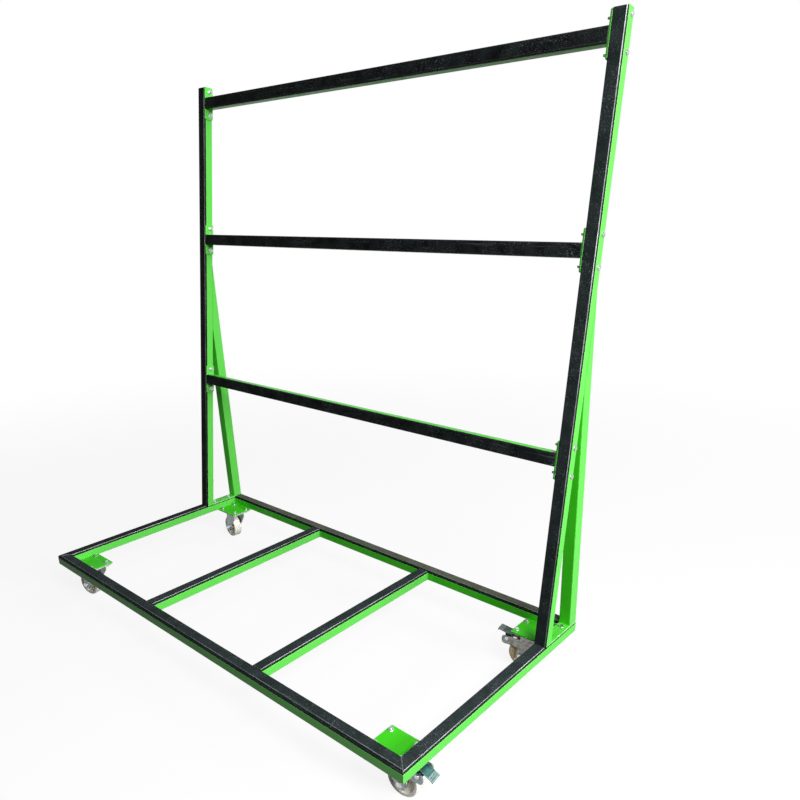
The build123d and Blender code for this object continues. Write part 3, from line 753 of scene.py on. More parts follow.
class Blank:
    """A piece in the making: one mesh and the operators that the cart's pieces share."""

    def __init__(self) -> None:
        """Starts an empty mesh with a face layer that marks edges for wear and for painted highlight
        lines.
        """
        self.mesh = bmesh.new()
        self.worn = self.mesh.faces.layers.float.new(EDGE_MARK_LAYER)

    def block(self, low: Iterable[float], high: Iterable[float]) -> "Blank":
        """Adds a box.

        Args:
            low: Lowest corner.
            high: Highest corner.

        Returns:
            The blank itself.
        """
        start, end = Vector(low), Vector(high)
        place = Matrix.Translation((start + end) / 2) @ Matrix.Diagonal((*(end - start), 1.0))
        bmesh.ops.create_cube(self.mesh, size=1.0, matrix=place)
        return self

    def soften(self, wanted: EdgeTest, size: float, segments: int = 2, rubbed: float = 1.0) -> "Blank":
        """Bevels edges.

        Args:
            wanted: Tells which edges.
            size: Width of the bevel.
            segments: Number of faces across it.
            rubbed: Mark that the new faces get, for wear and for painted highlights.

        Returns:
            The blank itself.
        """
        made = bmesh.ops.bevel(
            self.mesh,
            geom=[edge for edge in self.mesh.edges if wanted(edge)],
            offset=size,
            offset_type="OFFSET",
            affect="EDGES",
            segments=segments,
            profile=0.5,
            material=-1,
            clamp_overlap=True,
        )
        for face in made["faces"]:
            face[self.worn] = rubbed
        return self

    def rub(self, amount: float) -> "Blank":
        """Marks every face with the same edge mark.

        Args:
            amount: The mark, on the pedal a painted highlight.

        Returns:
            The blank itself.
        """
        for face in self.mesh.faces:
            face[self.worn] = amount
        return self

    def cut(self, point: Iterable[float], outward: Iterable[float]) -> "Blank":
        """Saws off what lies beyond a plane and closes the end.

        Args:
            point: A point of the plane.
            outward: Direction to the side that is sawn off.

        Returns:
            The blank itself.
        """
        everything = self.mesh.verts[:] + self.mesh.edges[:] + self.mesh.faces[:]
        made = bmesh.ops.bisect_plane(
            self.mesh, geom=everything, dist=CUT_SLACK, plane_co=point, plane_no=outward, clear_outer=True
        )
        rim = [part for part in made["geom_cut"] if isinstance(part, bmesh.types.BMEdge)]
        open_rim = [edge for edge in rim if edge.is_boundary]
        if open_rim:
            bmesh.ops.edgeloop_fill(self.mesh, edges=open_rim)
        return self

    def turn(self, profile: Sequence[Pair], steps: int = 48) -> "Blank":
        """Turns a profile round Z.

        Args:
            profile: Points of radius and height, in order.
            steps: Number of faces round the turn.

        Returns:
            The blank itself.
        """
        corners = [self.mesh.verts.new((radius, 0.0, height)) for radius, height in profile]
        sides = [self.mesh.edges.new(pair) for pair in zip(corners, corners[1:])]
        bmesh.ops.spin(
            self.mesh,
            geom=corners + sides,
            cent=(0, 0, 0),
            axis=Z,
            angle=math.tau,
            steps=steps,
            use_merge=True,
        )
        bmesh.ops.remove_doubles(self.mesh, verts=self.mesh.verts[:], dist=DOUBLE)
        bmesh.ops.recalc_face_normals(self.mesh, faces=self.mesh.faces[:])
        return self

    def hexagon(self, across: float, low: float, high: float, crowned: int = 1) -> "Blank":
        """Adds a hexagon with one end face turned down at the corners.

        Args:
            across: Width across the flats.
            low: Lower end on Z.
            high: Upper end on Z.
            crowned: End that is turned down, 1 for the upper and -1 for the lower.

        Returns:
            The blank itself.
        """
        bar = Blank()
        corner_radius = across / math.sqrt(3)
        bmesh.ops.create_cone(
            bar.mesh,
            cap_ends=True,
            segments=6,
            radius1=corner_radius,
            radius2=corner_radius,
            depth=high - low,
            matrix=Matrix.Translation(Z * (low + high) / 2) @ Matrix.Rotation(math.radians(30), 4, "Z"),
        )
        face_radius = across * CROWN_SHARE
        for step in range(CROWN_CUTS):
            way = Matrix.Rotation(math.tau * step / CROWN_CUTS, 3, "Z") @ X
            point = way * face_radius + Z * (high if crowned > 0 else low)
            bar.cut(point, way * math.sin(CROWN_SLOPE) + Z * crowned * math.cos(CROWN_SLOPE))
        return self.take(bar)

    def hull(self, height: float, *rings: tuple[float, float, float], steps: int = 24) -> "Blank":
        """Adds a flat bar stretched round several round bosses, its faces square to Z.

        Args:
            height: Thickness on Z, half of it to each side of zero.
            rings: Centre x, centre y and radius of each boss.
            steps: Number of points round a boss.

        Returns:
            The blank itself.
        """
        bar = Blank()
        for level in (-height / 2, height / 2):
            for x, y, radius in rings:
                place = Matrix.Translation((x, y, level))
                bmesh.ops.create_circle(bar.mesh, segments=steps, radius=radius, matrix=place)
        bmesh.ops.convex_hull(bar.mesh, input=bar.mesh.verts[:])
        loose = [edge for edge in bar.mesh.edges if not edge.link_faces]
        bmesh.ops.delete(bar.mesh, geom=loose, context="EDGES")
        strays = [vert for vert in bar.mesh.verts if not vert.link_faces]
        bmesh.ops.delete(bar.mesh, geom=strays, context="VERTS")
        bmesh.ops.dissolve_limit(
            bar.mesh, angle_limit=math.radians(2), verts=bar.mesh.verts[:], edges=bar.mesh.edges[:]
        )
        bmesh.ops.recalc_face_normals(bar.mesh, faces=bar.mesh.faces[:])
        return self.take(bar)

    def bead(self, start: Vector, end: Vector, radius: float) -> "Blank":
        """Lays a rippled weld bead.

        Args:
            start: Where the bead starts.
            end: Where it ends.
            radius: Radius of the bead.

        Returns:
            The blank itself.
        """
        run = end - start
        ripples = max(3, round(run.length / (radius * RIPPLE_LENGTH)))
        step = run / (2 * ripples)
        place = Matrix.Translation(start) @ run.to_track_quat("Z", "Y").to_matrix().to_4x4()
        ring = bmesh.ops.create_circle(
            self.mesh, cap_ends=True, segments=8, radius=radius * RIPPLE_START, matrix=place
        )["verts"]
        rim = list({edge for vert in ring for edge in vert.link_edges})
        for index in range(2 * ripples):
            made = bmesh.ops.extrude_edge_only(self.mesh, edges=rim)["geom"]
            verts = [part for part in made if isinstance(part, bmesh.types.BMVert)]
            edges = [part for part in made if isinstance(part, bmesh.types.BMEdge)]
            rim = [edge for edge in edges if all(vert in verts for vert in edge.verts)]
            bmesh.ops.translate(self.mesh, verts=verts, vec=step)
            middle = start + step * (index + 1)
            swell = RIPPLE_WAIST if index % 2 else 1 / RIPPLE_WAIST
            bmesh.ops.scale(self.mesh, verts=verts, vec=(swell,) * 3, space=Matrix.Translation(-middle))
        bmesh.ops.edgeloop_fill(self.mesh, edges=rim)
        return self

    def place(self, matrix: Matrix) -> "Blank":
        """Moves the whole blank."""
        bmesh.ops.transform(self.mesh, matrix=matrix, verts=self.mesh.verts[:])
        return self

    def take(self, other: "Blank", matrix: Matrix | None = None) -> "Blank":
        """Adds a copy of another blank.

        Args:
            other: The blank to copy.
            matrix: Where the copy goes, or None to leave it in place.

        Returns:
            The blank itself.
        """
        carrier = bpy.data.meshes.new("carrier")
        other.mesh.to_mesh(carrier)
        if matrix is not None:
            carrier.transform(matrix)
        self.mesh.from_mesh(carrier)
        bpy.data.meshes.remove(carrier)
        return self

    def piece(self, name: str, finish: Finish, body: str, *stands_for: str) -> bpy.types.Object:
        """Ends the making.

        Args:
            name: Name of the finished piece.
            finish: Its finish.
            body: CAD body that it rides on.
            stands_for: CAD nodes that it stands for.

        Returns:
            The finished object.
        """
        data = bpy.data.meshes.new(name)
        bmesh.ops.recalc_face_normals(self.mesh, faces=self.mesh.faces[:])
        self.mesh.to_mesh(data)
        self.mesh.free()
        data.shade_smooth()
        data.set_sharp_from_angle(angle=SHARP_ANGLE)
        data.materials.append(finish.material())
        made = linked(name, data)
        made.modifiers.new("even_shading", "WEIGHTED_NORMAL").keep_sharp = True
        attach(made, body)
        if stands_for:
            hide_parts(*stands_for)
        LOG.info("%s: %d faces on %s", name, len(data.polygons), body)
        return made


@dataclass
class Tubing:
    """Rectangular tube of the cart with rounded long edges."""

    radius: float = 0.003
    steps: int = 4
    rubbed: float = 0.5

    def length(self, low: Iterable[float], high: Iterable[float], axis: Vector) -> Blank:
        """Makes a length of tube in a box."""
        return Blank().block(low, high).soften(along(axis), self.radius, self.steps, self.rubbed)


@dataclass
class BaseFrame:
    """The welded base: mitred rails, crossbars, corner plates and foot plates."""

    paint: Finish = GREEN_COAT
    front: Finish = FRONT_COAT
    plates: Finish = PLATE_COAT
    # Black finish of the sheets of painted shade under the foot plates
    dark: Finish = StripPlastic.of(Run.ALONG_Y)
    tubing: Tubing = field(default_factory=Tubing)
    plate_edge: float = 0.0007
    foot_edge: float = 0.0014
    plate_corner: float = 0.004
    # Thickness of the sheet of painted shade under each foot plate
    packing: float = 0.003
    strip_foot: float = 0.008

    def build(self) -> None:
        """Makes all pieces of the base."""
        self.rails()
        self.crossbars()
        self.corner_plates()
        self.foot_plates()

    def rails(self) -> None:
        """Makes the four rails, each sawn at 45 degrees at both ends."""
        inwards = {"front_rail": Y, "rear_rail": -Y, "left_side_rail": X, "right_side_rail": -X}
        for node, inward in inwards.items():
            low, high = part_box(node)
            way = Y if inward.x else X
            tube = self.tubing.length(low, high, way)
            for outward in (inward - way, inward + way):
                tube.cut(mitre_point(low, high, way, outward), outward)
            paint = self.front if node == "front_rail" else self.paint
            tube.piece(f"{node}_tube", paint, "frame", node)

    def crossbars(self) -> None:
        """Makes the two crossbars."""
        for node in ("left_crossbar", "right_crossbar"):
            self.tubing.length(*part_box(node), Y).piece(f"{node}_tube", self.paint, "frame", node)

    def corner_plates(self) -> None:
        """Makes the plates that carry the casters, rounded at the free corner."""
        for corner in Corner:
            node = f"{corner.label}_corner_plate"
            low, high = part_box(node)
            x, y = corner.far(low, high)
            free = along(Z, lambda p: abs(p.x - x) < NEAR and abs(p.y - y) < NEAR)
            plate = Blank().block(low, high)
            plate.soften(free, self.plate_corner, segments=5, rubbed=0.0)
            plate.soften(sharper_than(), self.plate_edge)
            plate.piece(f"{node}_sheet", self.paint, "frame", node)

    def foot_plates(self) -> None:
        """Makes the plates under post and brace, each on a black sheet of painted shade, which ends under
        the strip.
        """
        for node in ("left_foot_plate", "right_foot_plate"):
            low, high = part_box(node)
            level, front = low.z + self.packing, low.y + self.strip_foot
            plate = Blank().block((low.x, front, level), high).soften(sharper_than(), self.foot_edge)
            plate.piece(f"{node}_sheet", self.plates, "frame", node)
            # Painted shade: a black sheet under the plate and in front of it
            packing = Blank().block(low, (high.x, high.y, level)).block(low, (high.x, front, high.z))
            packing.piece(f"{node}_packing", self.dark, "frame")


@dataclass
class DeckStrips:
    """Edge strips on the base, and the bevels, wear and painted highlight lines that all strips share."""

    bevel: float = 0.0025
    wide_bevel: Pair = (0.007, 0.004)
    softness: float = 0.0010
    left_softness: float = 0.0018
    broken_above: float = 25.0
    slope: Pair = (0.75, 0.995)
    aside: float = 0.1
    # Bevel marks: a painted highlight on those facing right, set marks in front and on the mitres, light
    # wear elsewhere
    rubbed_right: float = 0.9
    rubbed_front: float = 0.3
    rubbed_left_mitre: float = 1.0
    rubbed_right_mitre: float = 0.35
    rubbed_elsewhere: float = 0.04

    def build(self) -> None:
        """Makes the six deck strips: the front one is mitred with the side ones."""
        # Strip tones are painted light: the left side strip in shade, the right side and crossbar strips
        # lit
        self.strip("front_strip", X, Tone.FRONT, Y - X, Y + X)
        self.strip("rear_strip", X, Tone.DUSTY)
        self.strip("left_side_strip", Y, Tone.SHELTERED, X - Y)
        self.strip("right_side_strip", Y, Tone.STOOD_ON, -X - Y)
        self.strip("left_crossbar_strip", Y, Tone.STOOD_ON)
        self.strip("right_crossbar_strip", Y, Tone.STOOD_ON)

    def strip(self, node: str, way: Vector, tone: Tone, *mitres: Vector) -> None:
        """Makes one strip, with a wide bevel in front if it runs to the right.

        Args:
            node: CAD node that it stands for.
            way: Direction that it runs in.
            tone: How far it has faded.
            mitres: Outward directions of its mitred ends.
        """
        low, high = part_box(node)
        top, front = high.z - NEAR, low.y + NEAR
        wide = way is X
        profile = Blank().block(low, high)
        bevelled = along(way, lambda p: p.z > top and not (wide and p.y < front))
        profile.soften(bevelled, self.bevel, segments=1)
        if wide:
            reach, drop = self.wide_bevel
            profile.cut((0, low.y + reach, high.z), (0, -drop, reach))
        for outward in mitres:
            profile.cut(mitre_point(low, high, way, outward), outward)
        softness = self.left_softness if node == "left_side_strip" else self.softness
        self.ease(profile, Z, self.rubbed_right, low.z, softness)
        finish = StripPlastic.of(Run.ALONG_X if wide else Run.ALONG_Y, tone)
        profile.piece(f"{node}_profile", finish, "frame", node)

    def ease(self, profile: Blank, outward: Vector, rubbed: float, foot: float, softness: float) -> None:
        """Breaks a placed strip's edges and marks the bevels, with a painted highlight strongest on those
        that face right, towards the key light.

        Args:
            profile: The strip.
            outward: Direction that its broad face looks in.
            rubbed: Strength of the painted highlight on the bevels that face right.
            foot: Level where it stands on another piece and keeps its edges.
            softness: Width of the broken edges.
        """
        sharp = sharper_than(self.broken_above)
        profile.soften(
            lambda edge: sharp(edge) and any(vert.co.z > foot + NEAR for vert in edge.verts), softness
        )
        profile.mesh.normal_update()
        level = outward is Z
        for face in profile.mesh.faces:
            if face[profile.worn] == 0.0:
                continue
            # Painted highlight on bevels facing right; set marks on mitres and in front; light wear
            # elsewhere
            wear = self.rubbed_elsewhere
            normal = face.normal
            if self.slope[0] < normal.dot(outward) < self.slope[1]:
                if level and abs(normal.x) > self.aside and abs(normal.y) > self.aside:
                    on_right = face.calc_center_median().x > 0
                    wear = self.rubbed_right_mitre if on_right else self.rubbed_left_mitre
                elif normal.x > self.aside:
                    wear = rubbed
                elif level and normal.y < -self.aside:
                    wear = self.rubbed_front
            face[profile.worn] = wear


@dataclass
class BackFrame:
    """The leaning back: posts, braces, cross rails, their strips, caps and end plates."""

    strips: DeckStrips
    paint: Finish = GREEN_COAT
    plates: Finish = PLATE_COAT
    tubing: Tubing = field(default_factory=Tubing)
    lean: float = math.radians(6.84)
    brace_lean: float = math.radians(1.7)
    half_width: float = 0.9
    tube_wide: float = 0.040
    tube_narrow: float = 0.030
    strip_thick: float = 0.008
    post_length: float = 1.744
    cap_thick: float = 0.003
    cap_edge: float = 0.001
    plate_thick: float = 0.005
    plate_length: float = 0.116
    plate_radius: float = 0.006
    plate_edge: float = 0.0007
    bolt_spacing: float = 0.085
    middle_rail_at: float = 1.168
    lower_rail_at: float = 0.585
    # Painted highlight on the right bevels of the post and rail strips, and on the end plates' rims
    rubbed_right_post: float = 1.0
    rubbed_left_post: float = 0.6
    rubbed_rail: float = 0.1
    rubbed_plate: float = 0.2

    @property
    def stations(self) -> dict[str, float]:
        """Heights of the cross rails up the slope."""
        top = self.post_length - self.plate_length / 2
        return {"top": top, "middle": self.middle_rail_at, "lower": self.lower_rail_at}

    @property
    def deck(self) -> float:
        """Height of the deck strips' upper face."""
        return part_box("front_strip")[1].z

    @property
    def depth(self) -> float:
        """Depth of tube and strip together."""
        return self.tube_narrow + self.strip_thick

    @property
    def rise(self) -> Vector:
        """Direction up the slope."""
        return Vector((0, math.sin(self.lean), math.cos(self.lean)))

    @property
    def plane(self) -> Matrix:
        """Frame of the back: x to the right, y up the slope, z out of the strips.

        Returns:
            The frame, with its origin on the deck in the middle of the strips' front.
        """
        low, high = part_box("front_rail")
        origin = Vector(((low.x + high.x) / 2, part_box("right_side_strip")[1].y, self.deck))
        axes = Matrix((X, self.rise, X.cross(self.rise))).transposed()
        return Matrix.Translation(origin) @ axes.to_4x4()

    @property
    def outward(self) -> Vector:
        """Direction that the back's strips look in."""
        return self.plane.to_3x3() @ Z

    @property
    def rail_half(self) -> float:
        """Half of a cross rail's length."""
        return self.half_width - self.tube_wide - self.plate_thick

    def build(self) -> None:
        """Makes all pieces of the back."""
        for side in Side:
            self.post(side)
            self.brace(side)
        self.caps()
        for name, at in self.stations.items():
            self.cross_rail(name, at)
            self.end_plates(name, at)

    def post_span(self, side: Side) -> list[float]:
        """Lower and upper x of a post in the back's frame."""
        return sorted((side.value * (self.half_width - self.tube_wide), side.value * self.half_width))

    def length(self, name: str, low: Pair, high: Pair, axis: Vector, tone: Tone, rubbed: float) -> None:
        """Makes a tube of the back with the strip on its front, sawn level if it reaches the deck.

        Args:
            name: CAD node of the tube.
            low: Its lowest x and y in the back's frame.
            high: Its highest x and y in the back's frame.
            axis: Direction that it runs in, in the back's frame.
            tone: How far the strip has faded.
            rubbed: Strength of the painted highlight on the strip's bevel on the right.
        """
        tube = self.tubing.length((*low, -self.depth), (*high, -self.strip_thick), axis)
        strip = Blank().block((*low, -self.strip_thick), (*high, 0))
        strip.soften(along(axis, lambda p: p.z > -NEAR), self.strips.bevel, segments=1)
        for part in (tube, strip):
            part.place(self.plane).cut((0, 0, self.deck), -Z)
        self.strips.ease(strip, self.outward, rubbed, self.deck, self.strips.softness)
        finish = StripPlastic.of(Run.ALONG_X if axis is X else Run.ALONG_Z, tone, upright=True)
        tube.piece(f"{name}_tube", self.paint, "frame", name)
        strip.piece(f"{name}_strip_profile", finish, "frame", f"{name}_strip")

    def post(self, side: Side) -> None:
        """Makes a post with its strip, in painted shade on the left and half lit, with a stronger painted
        highlight, on the right.

        Args:
            side: Side of the cart.
        """
        # Painted light: the left post's strip in shade, the right one half lit
        tone, rubbed = Tone.FRESH, self.rubbed_left_post
        if side is Side.RIGHT:
            tone, rubbed = Tone.LEANED_ON, self.rubbed_right_post
        start, end = self.post_span(side)
        low, high = (start, -self.depth), (end, self.post_length)
        self.length(f"{side.label}_post", low, high, Y, tone, rubbed)

    def brace(self, side: Side) -> None:
        """Makes a brace from the foot plate up to the rear face of the post.

        Args:
            side: Side of the cart.
        """
        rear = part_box("rear_rail")[1].y
        half = self.tube_wide / 2
        tube = self.tubing.length((-half, -half, -self.tube_wide), (half, half, self.post_length), Z)
        x = self.plane.translation.x + side.value * (self.half_width - half)
        foot = Vector((x, rear - half / math.cos(self.brace_lean), self.deck))
        tube.place(Matrix.Translation(foot) @ Matrix.Rotation(self.brace_lean, 4, "X"))
        tube.cut((0, 0, self.deck), -Z)
        tube.cut(self.plane @ Vector((0, 0, -self.depth)), self.outward)
        tube.piece(f"{side.label}_brace_tube", self.paint, "frame", f"{side.label}_brace")

    def caps(self) -> None:
        """Makes the caps on top of the posts."""
        caps = Blank()
        top = self.post_length + self.cap_thick
        for side in Side:
            start, end = self.post_span(side)
            cap = Blank().block((start, self.post_length, -self.depth), (end, top, -self.strip_thick))
            cap.soften(along(Y), self.tubing.radius, self.tubing.steps, rubbed=0.0)
            cap.soften(
                lambda edge: all(vert.co.y > top - NEAR for vert in edge.verts), self.cap_edge, segments=3
            )
            caps.take(cap, self.plane)
        caps.piece("post_cap_pair", self.paint, "frame", "post_caps")

    def cross_rail(self, name: str, at: float) -> None:
        """Makes a cross rail with its strip.

        Args:
            name: Name of the rail.
            at: Its height up the slope.
        """
        half = self.tube_wide / 2
        low, high = (-self.rail_half, at - half), (self.rail_half, at + half)
        self.length(f"{name}_rail", low, high, X, Tone.FRESH, self.rubbed_rail)

    def end_plates(self, name: str, at: float) -> None:
        """Makes the two bolted plates at the ends of a cross rail.

        Args:
            name: Name of the rail.
            at: Its height up the slope.
        """
        plates = Blank()
        half = self.plate_length / 2
        for side in Side:
            near, far = side.value * self.rail_half, side.value * (self.rail_half + self.plate_thick)
            start, end = sorted((near, far))
            plate = Blank().block((start, at - half, -self.depth), (end, at + half, 0))
            plate.soften(along(X), self.plate_radius, segments=6, rubbed=0.0)
            # Painted highlight on the plate's rims
            plate.soften(sharper_than(), self.plate_edge, rubbed=self.rubbed_plate)
            plates.take(plate, self.plane)
        plates.piece(f"{name}_rail_plate_pair", self.plates, "frame", f"{name}_rail_end_plates")


@dataclass
class Fasteners:
    """Hexagon bolts, nuts and washers of the frame."""

    back: BackFrame
    zinc: Finish = BRIGHT_ZINC
    diameter: float = 0.008
    core_share: float = 0.43
    hexagon: float = 0.013
    head: float = 0.0053
    nut: float = 0.0065
    end: float = 0.0025
    rail_end: float = 0.0095
    thread_pitch: float = 0.00125
    thread_steps: int = 20
    washer_bore_share: float = 0.52
    washer_radius: float = 0.0082
    washer_thick: float = 0.0012
    washer_shown: float = 0.6
    washer_edge: float = 0.0003
    washer_steps: int = 28
    washer_rubbed: float = 0.5
    plate_pitch: Pair = (0.090, 0.064)
    caster_plate_thick: float = 0.004
    corner_plate_thick: float = 0.005

    def build(self) -> None:
        """Makes the three sets of bolts and nuts."""
        self.fit("rail", self.rail_places(), self.back.tube_wide + self.back.plate_thick, self.rail_end)
        self.fit("foot", self.foot_places(), self.back.depth, self.end)
        grip = self.caster_plate_thick + self.corner_plate_thick
        self.fit("caster", self.caster_places(), grip, self.end)

    def fit(self, name: str, places: Iterable[Matrix], grip: float, end: float) -> None:
        """Makes one set.

        Args:
            name: First word of the CAD nodes.
            places: Frame of each bolt, z out of its head, at the face under the head.
            grip: Thickness between head and nut.
            end: Length of thread beyond the nut.
        """
        bolt, nut = self.bolt(grip, end), self.nut_and_washer(grip)
        bolts, nuts = Blank(), Blank()
        for place in places:
            bolts.take(bolt, place)
            nuts.take(nut, place)
        bolts.piece(f"{name}_bolt_set", self.zinc, "frame", f"{name}_bolts")
        nuts.piece(f"{name}_nut_set", self.zinc, "frame", f"{name}_nuts")

    def washer(self, low: float) -> Blank:
        """Makes a washer with rounded rims.

        Args:
            low: Height of its lower face.

        Returns:
            The washer.
        """
        inner, outer = self.diameter * self.washer_bore_share, self.washer_radius
        high = low + self.washer_thick
        profile = [(inner, low), (outer, low), (outer, high), (inner, high), (inner, low)]
        ring = Blank().turn(profile, self.washer_steps)
        return ring.soften(sharper_than(), self.washer_edge, rubbed=self.washer_rubbed)

    def bolt(self, grip: float, end: float) -> Blank:
        """Makes a bolt with a crowned head, a washer under it and a threaded end.

        Args:
            grip: Thickness between head and nut.
            end: Length of thread beyond the nut.

        Returns:
            The bolt.
        """
        bolt = Blank().hexagon(self.hexagon, self.washer_thick * self.washer_shown, self.head)
        bolt.take(self.washer(0.0))
        core, crest = self.diameter * self.core_share, self.diameter / 2
        start, tip = -grip - self.nut + self.thread_pitch, -grip - self.nut - end
        profile = [(core, 0.0), (core, start)]
        for index in range(math.floor((start - tip) / self.thread_pitch)):
            level = start - index * self.thread_pitch
            profile += [(crest, level - 0.5 * self.thread_pitch), (core, level - self.thread_pitch)]
        profile += [(core, tip), (0.0, tip)]
        return bolt.take(Blank().turn(profile, self.thread_steps))

    def nut_and_washer(self, grip: float) -> Blank:
        """Makes a nut crowned at its free end, with a washer between it and the sheet.

        Args:
            grip: Thickness between head and nut.

        Returns:
            Nut and washer.
        """
        top = -grip - self.washer_thick * self.washer_shown
        nut = Blank().hexagon(self.hexagon, -grip - self.nut, top, crowned=-1)
        return nut.take(self.washer(-grip - self.washer_thick))

    def rail_places(self) -> Iterator[Matrix]:
        """Finds the bolts through the posts.

        Returns:
            The frame of each.
        """
        middle = -self.back.strip_thick - self.back.tube_narrow / 2
        for side in Side:
            outwards = Matrix.Rotation(side.value * QUARTER_TURN, 4, "Y")
            for at in self.back.stations.values():
                for offset in (-self.back.bolt_spacing / 2, self.back.bolt_spacing / 2):
                    point = (side.value * self.back.half_width, at + offset, middle)
                    yield self.back.plane @ Matrix.Translation(point) @ outwards

    def foot_places(self) -> Iterator[Matrix]:
        """Finds the bolts down through the foot plates.

        Returns:
            The frame of each.
        """
        low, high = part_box("foot_bolts")
        reach = self.back.half_width - self.back.tube_wide / 2
        for side in Side:
            x = self.back.plane.translation.x + side.value * reach
            for y in (low.y + self.hexagon / 2, high.y - self.hexagon / 2):
                yield Matrix.Translation((x, y, self.back.deck))

    def caster_places(self) -> Iterator[Matrix]:
        """Finds the bolts up through the caster plates, heads below.

        Returns:
            The frame of each.
        """
        for corner in Corner:
            low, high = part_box(f"{corner.label}_caster_plate")
            centre = (low + high) / 2
            for way_x in (-0.5, 0.5):
                for way_y in (-0.5, 0.5):
                    x = centre.x + way_x * self.plate_pitch[0]
                    y = centre.y + way_y * self.plate_pitch[1]
                    under = Matrix.Translation((x, y, high.z - self.caster_plate_thick))
                    yield under @ Matrix.Rotation(math.pi, 4, "X")


@dataclass
class WeldSeams:
    """Painted weld beads where the tubes and plates meet."""

    back: BackFrame
    paint: Finish = GREEN_COAT
    bead: float = 0.0022
    stitch: float = 0.028
    stitches_at: Pair = (0.2, 0.8)
    inset: float = 0.004
    sunk: float = 0.0005
    below_strip: float = 0.003

    def build(self) -> None:
        """Makes the seams of the base and of the back."""
        base = [*self.crossbar_seams(), *self.corner_seams(), *self.corner_plate_seams()]
        back = [*self.foot_seams(), *self.rail_seams(), *self.brace_seams()]
        for name, seams in (("base", base), ("back", back)):
            beads = Blank()
            for start, end in seams:
                beads.bead(start, end, self.bead)
            beads.piece(f"{name}_weld_seams", self.paint, "frame")

    def crossbar_seams(self) -> Iterator[Seam]:
        """Finds the seams at the sides and under both ends of each crossbar.

        Returns:
            Start and end of each.
        """
        for node in ("left_crossbar", "right_crossbar"):
            low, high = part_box(node)
            under = low.z + self.sunk
            for y in (low.y, high.y):
                for x in (low.x, high.x):
                    yield Vector((x, y, low.z + self.inset)), Vector((x, y, high.z - self.inset))
                yield Vector((low.x + self.inset, y, under)), Vector((high.x - self.inset, y, under))

    def corner_seams(self) -> Iterator[Seam]:
        """Finds the upright seams in the inner corners of the base, above the corner plates.

        Returns:
            Start and end of each.
        """
        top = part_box("front_rail")[1].z - self.below_strip
        for corner in Corner:
            low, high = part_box(f"{corner.label}_corner_plate")
            x, y = corner.near(low, high)
            yield Vector((x, y, high.z)), Vector((x, y, top))

    def corner_plate_seams(self) -> Iterator[Seam]:
        """Finds the stitches along the two welded edges of each corner plate.

        Returns:
            Start and end of each.
        """
        half = self.stitch / 2
        for corner in Corner:
            low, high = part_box(f"{corner.label}_corner_plate")
            x, y = corner.near(low, high)
            for share in self.stitches_at:
                across = low.x + share * (high.x - low.x)
                back = low.y + share * (high.y - low.y)
                yield Vector((across - half, y, high.z)), Vector((across + half, y, high.z))
                yield Vector((x, back - half, high.z)), Vector((x, back + half, high.z))

    def foot_seams(self) -> Iterator[Seam]:
        """Finds the seams at the feet of posts and braces.

        Returns:
            Start and end of each.
        """
        deck = self.back.deck
        post_rear = self.back.plane.translation.y + self.back.depth / math.cos(self.back.lean)
        for side in Side:
            low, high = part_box(f"{side.label}_foot_plate")
            brace_front = high.y - self.back.tube_wide / math.cos(self.back.brace_lean)
            for y in (post_rear, brace_front):
                yield Vector((low.x + self.inset, y, deck)), Vector((high.x - self.inset, y, deck))

    def rail_seams(self) -> Iterator[Seam]:
        """Finds the seams above and below each cross rail at its end plates.

        Returns:
            Start and end of each.
        """
        place, half = self.back.plane, self.back.tube_wide / 2
        rear, front = self.inset - self.back.depth, -self.back.strip_thick - self.inset / 2
        for at in self.back.stations.values():
            for x in (-self.back.rail_half, self.back.rail_half):
                for y in (at - half, at + half):
                    yield place @ Vector((x, y, rear)), place @ Vector((x, y, front))

    def brace_seams(self) -> Iterator[Seam]:
        """Finds the seams across each brace at both ends of its contact with the post.

        Returns:
            Start and end of each.
        """
        rise = self.back.rise
        contact = self.back.tube_wide / math.sin(self.back.lean - self.back.brace_lean)
        rear = self.back.plane @ Vector((0, 0, -self.back.depth))
        for side in Side:
            low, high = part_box(f"{side.label}_brace")
            top = rear + rise * ((high.z - rear.z) / rise.z)
            for end in (top, top - rise * contact):
                yield Vector((low.x + self.inset, *end.yz)), Vector((high.x - self.inset, *end.yz))


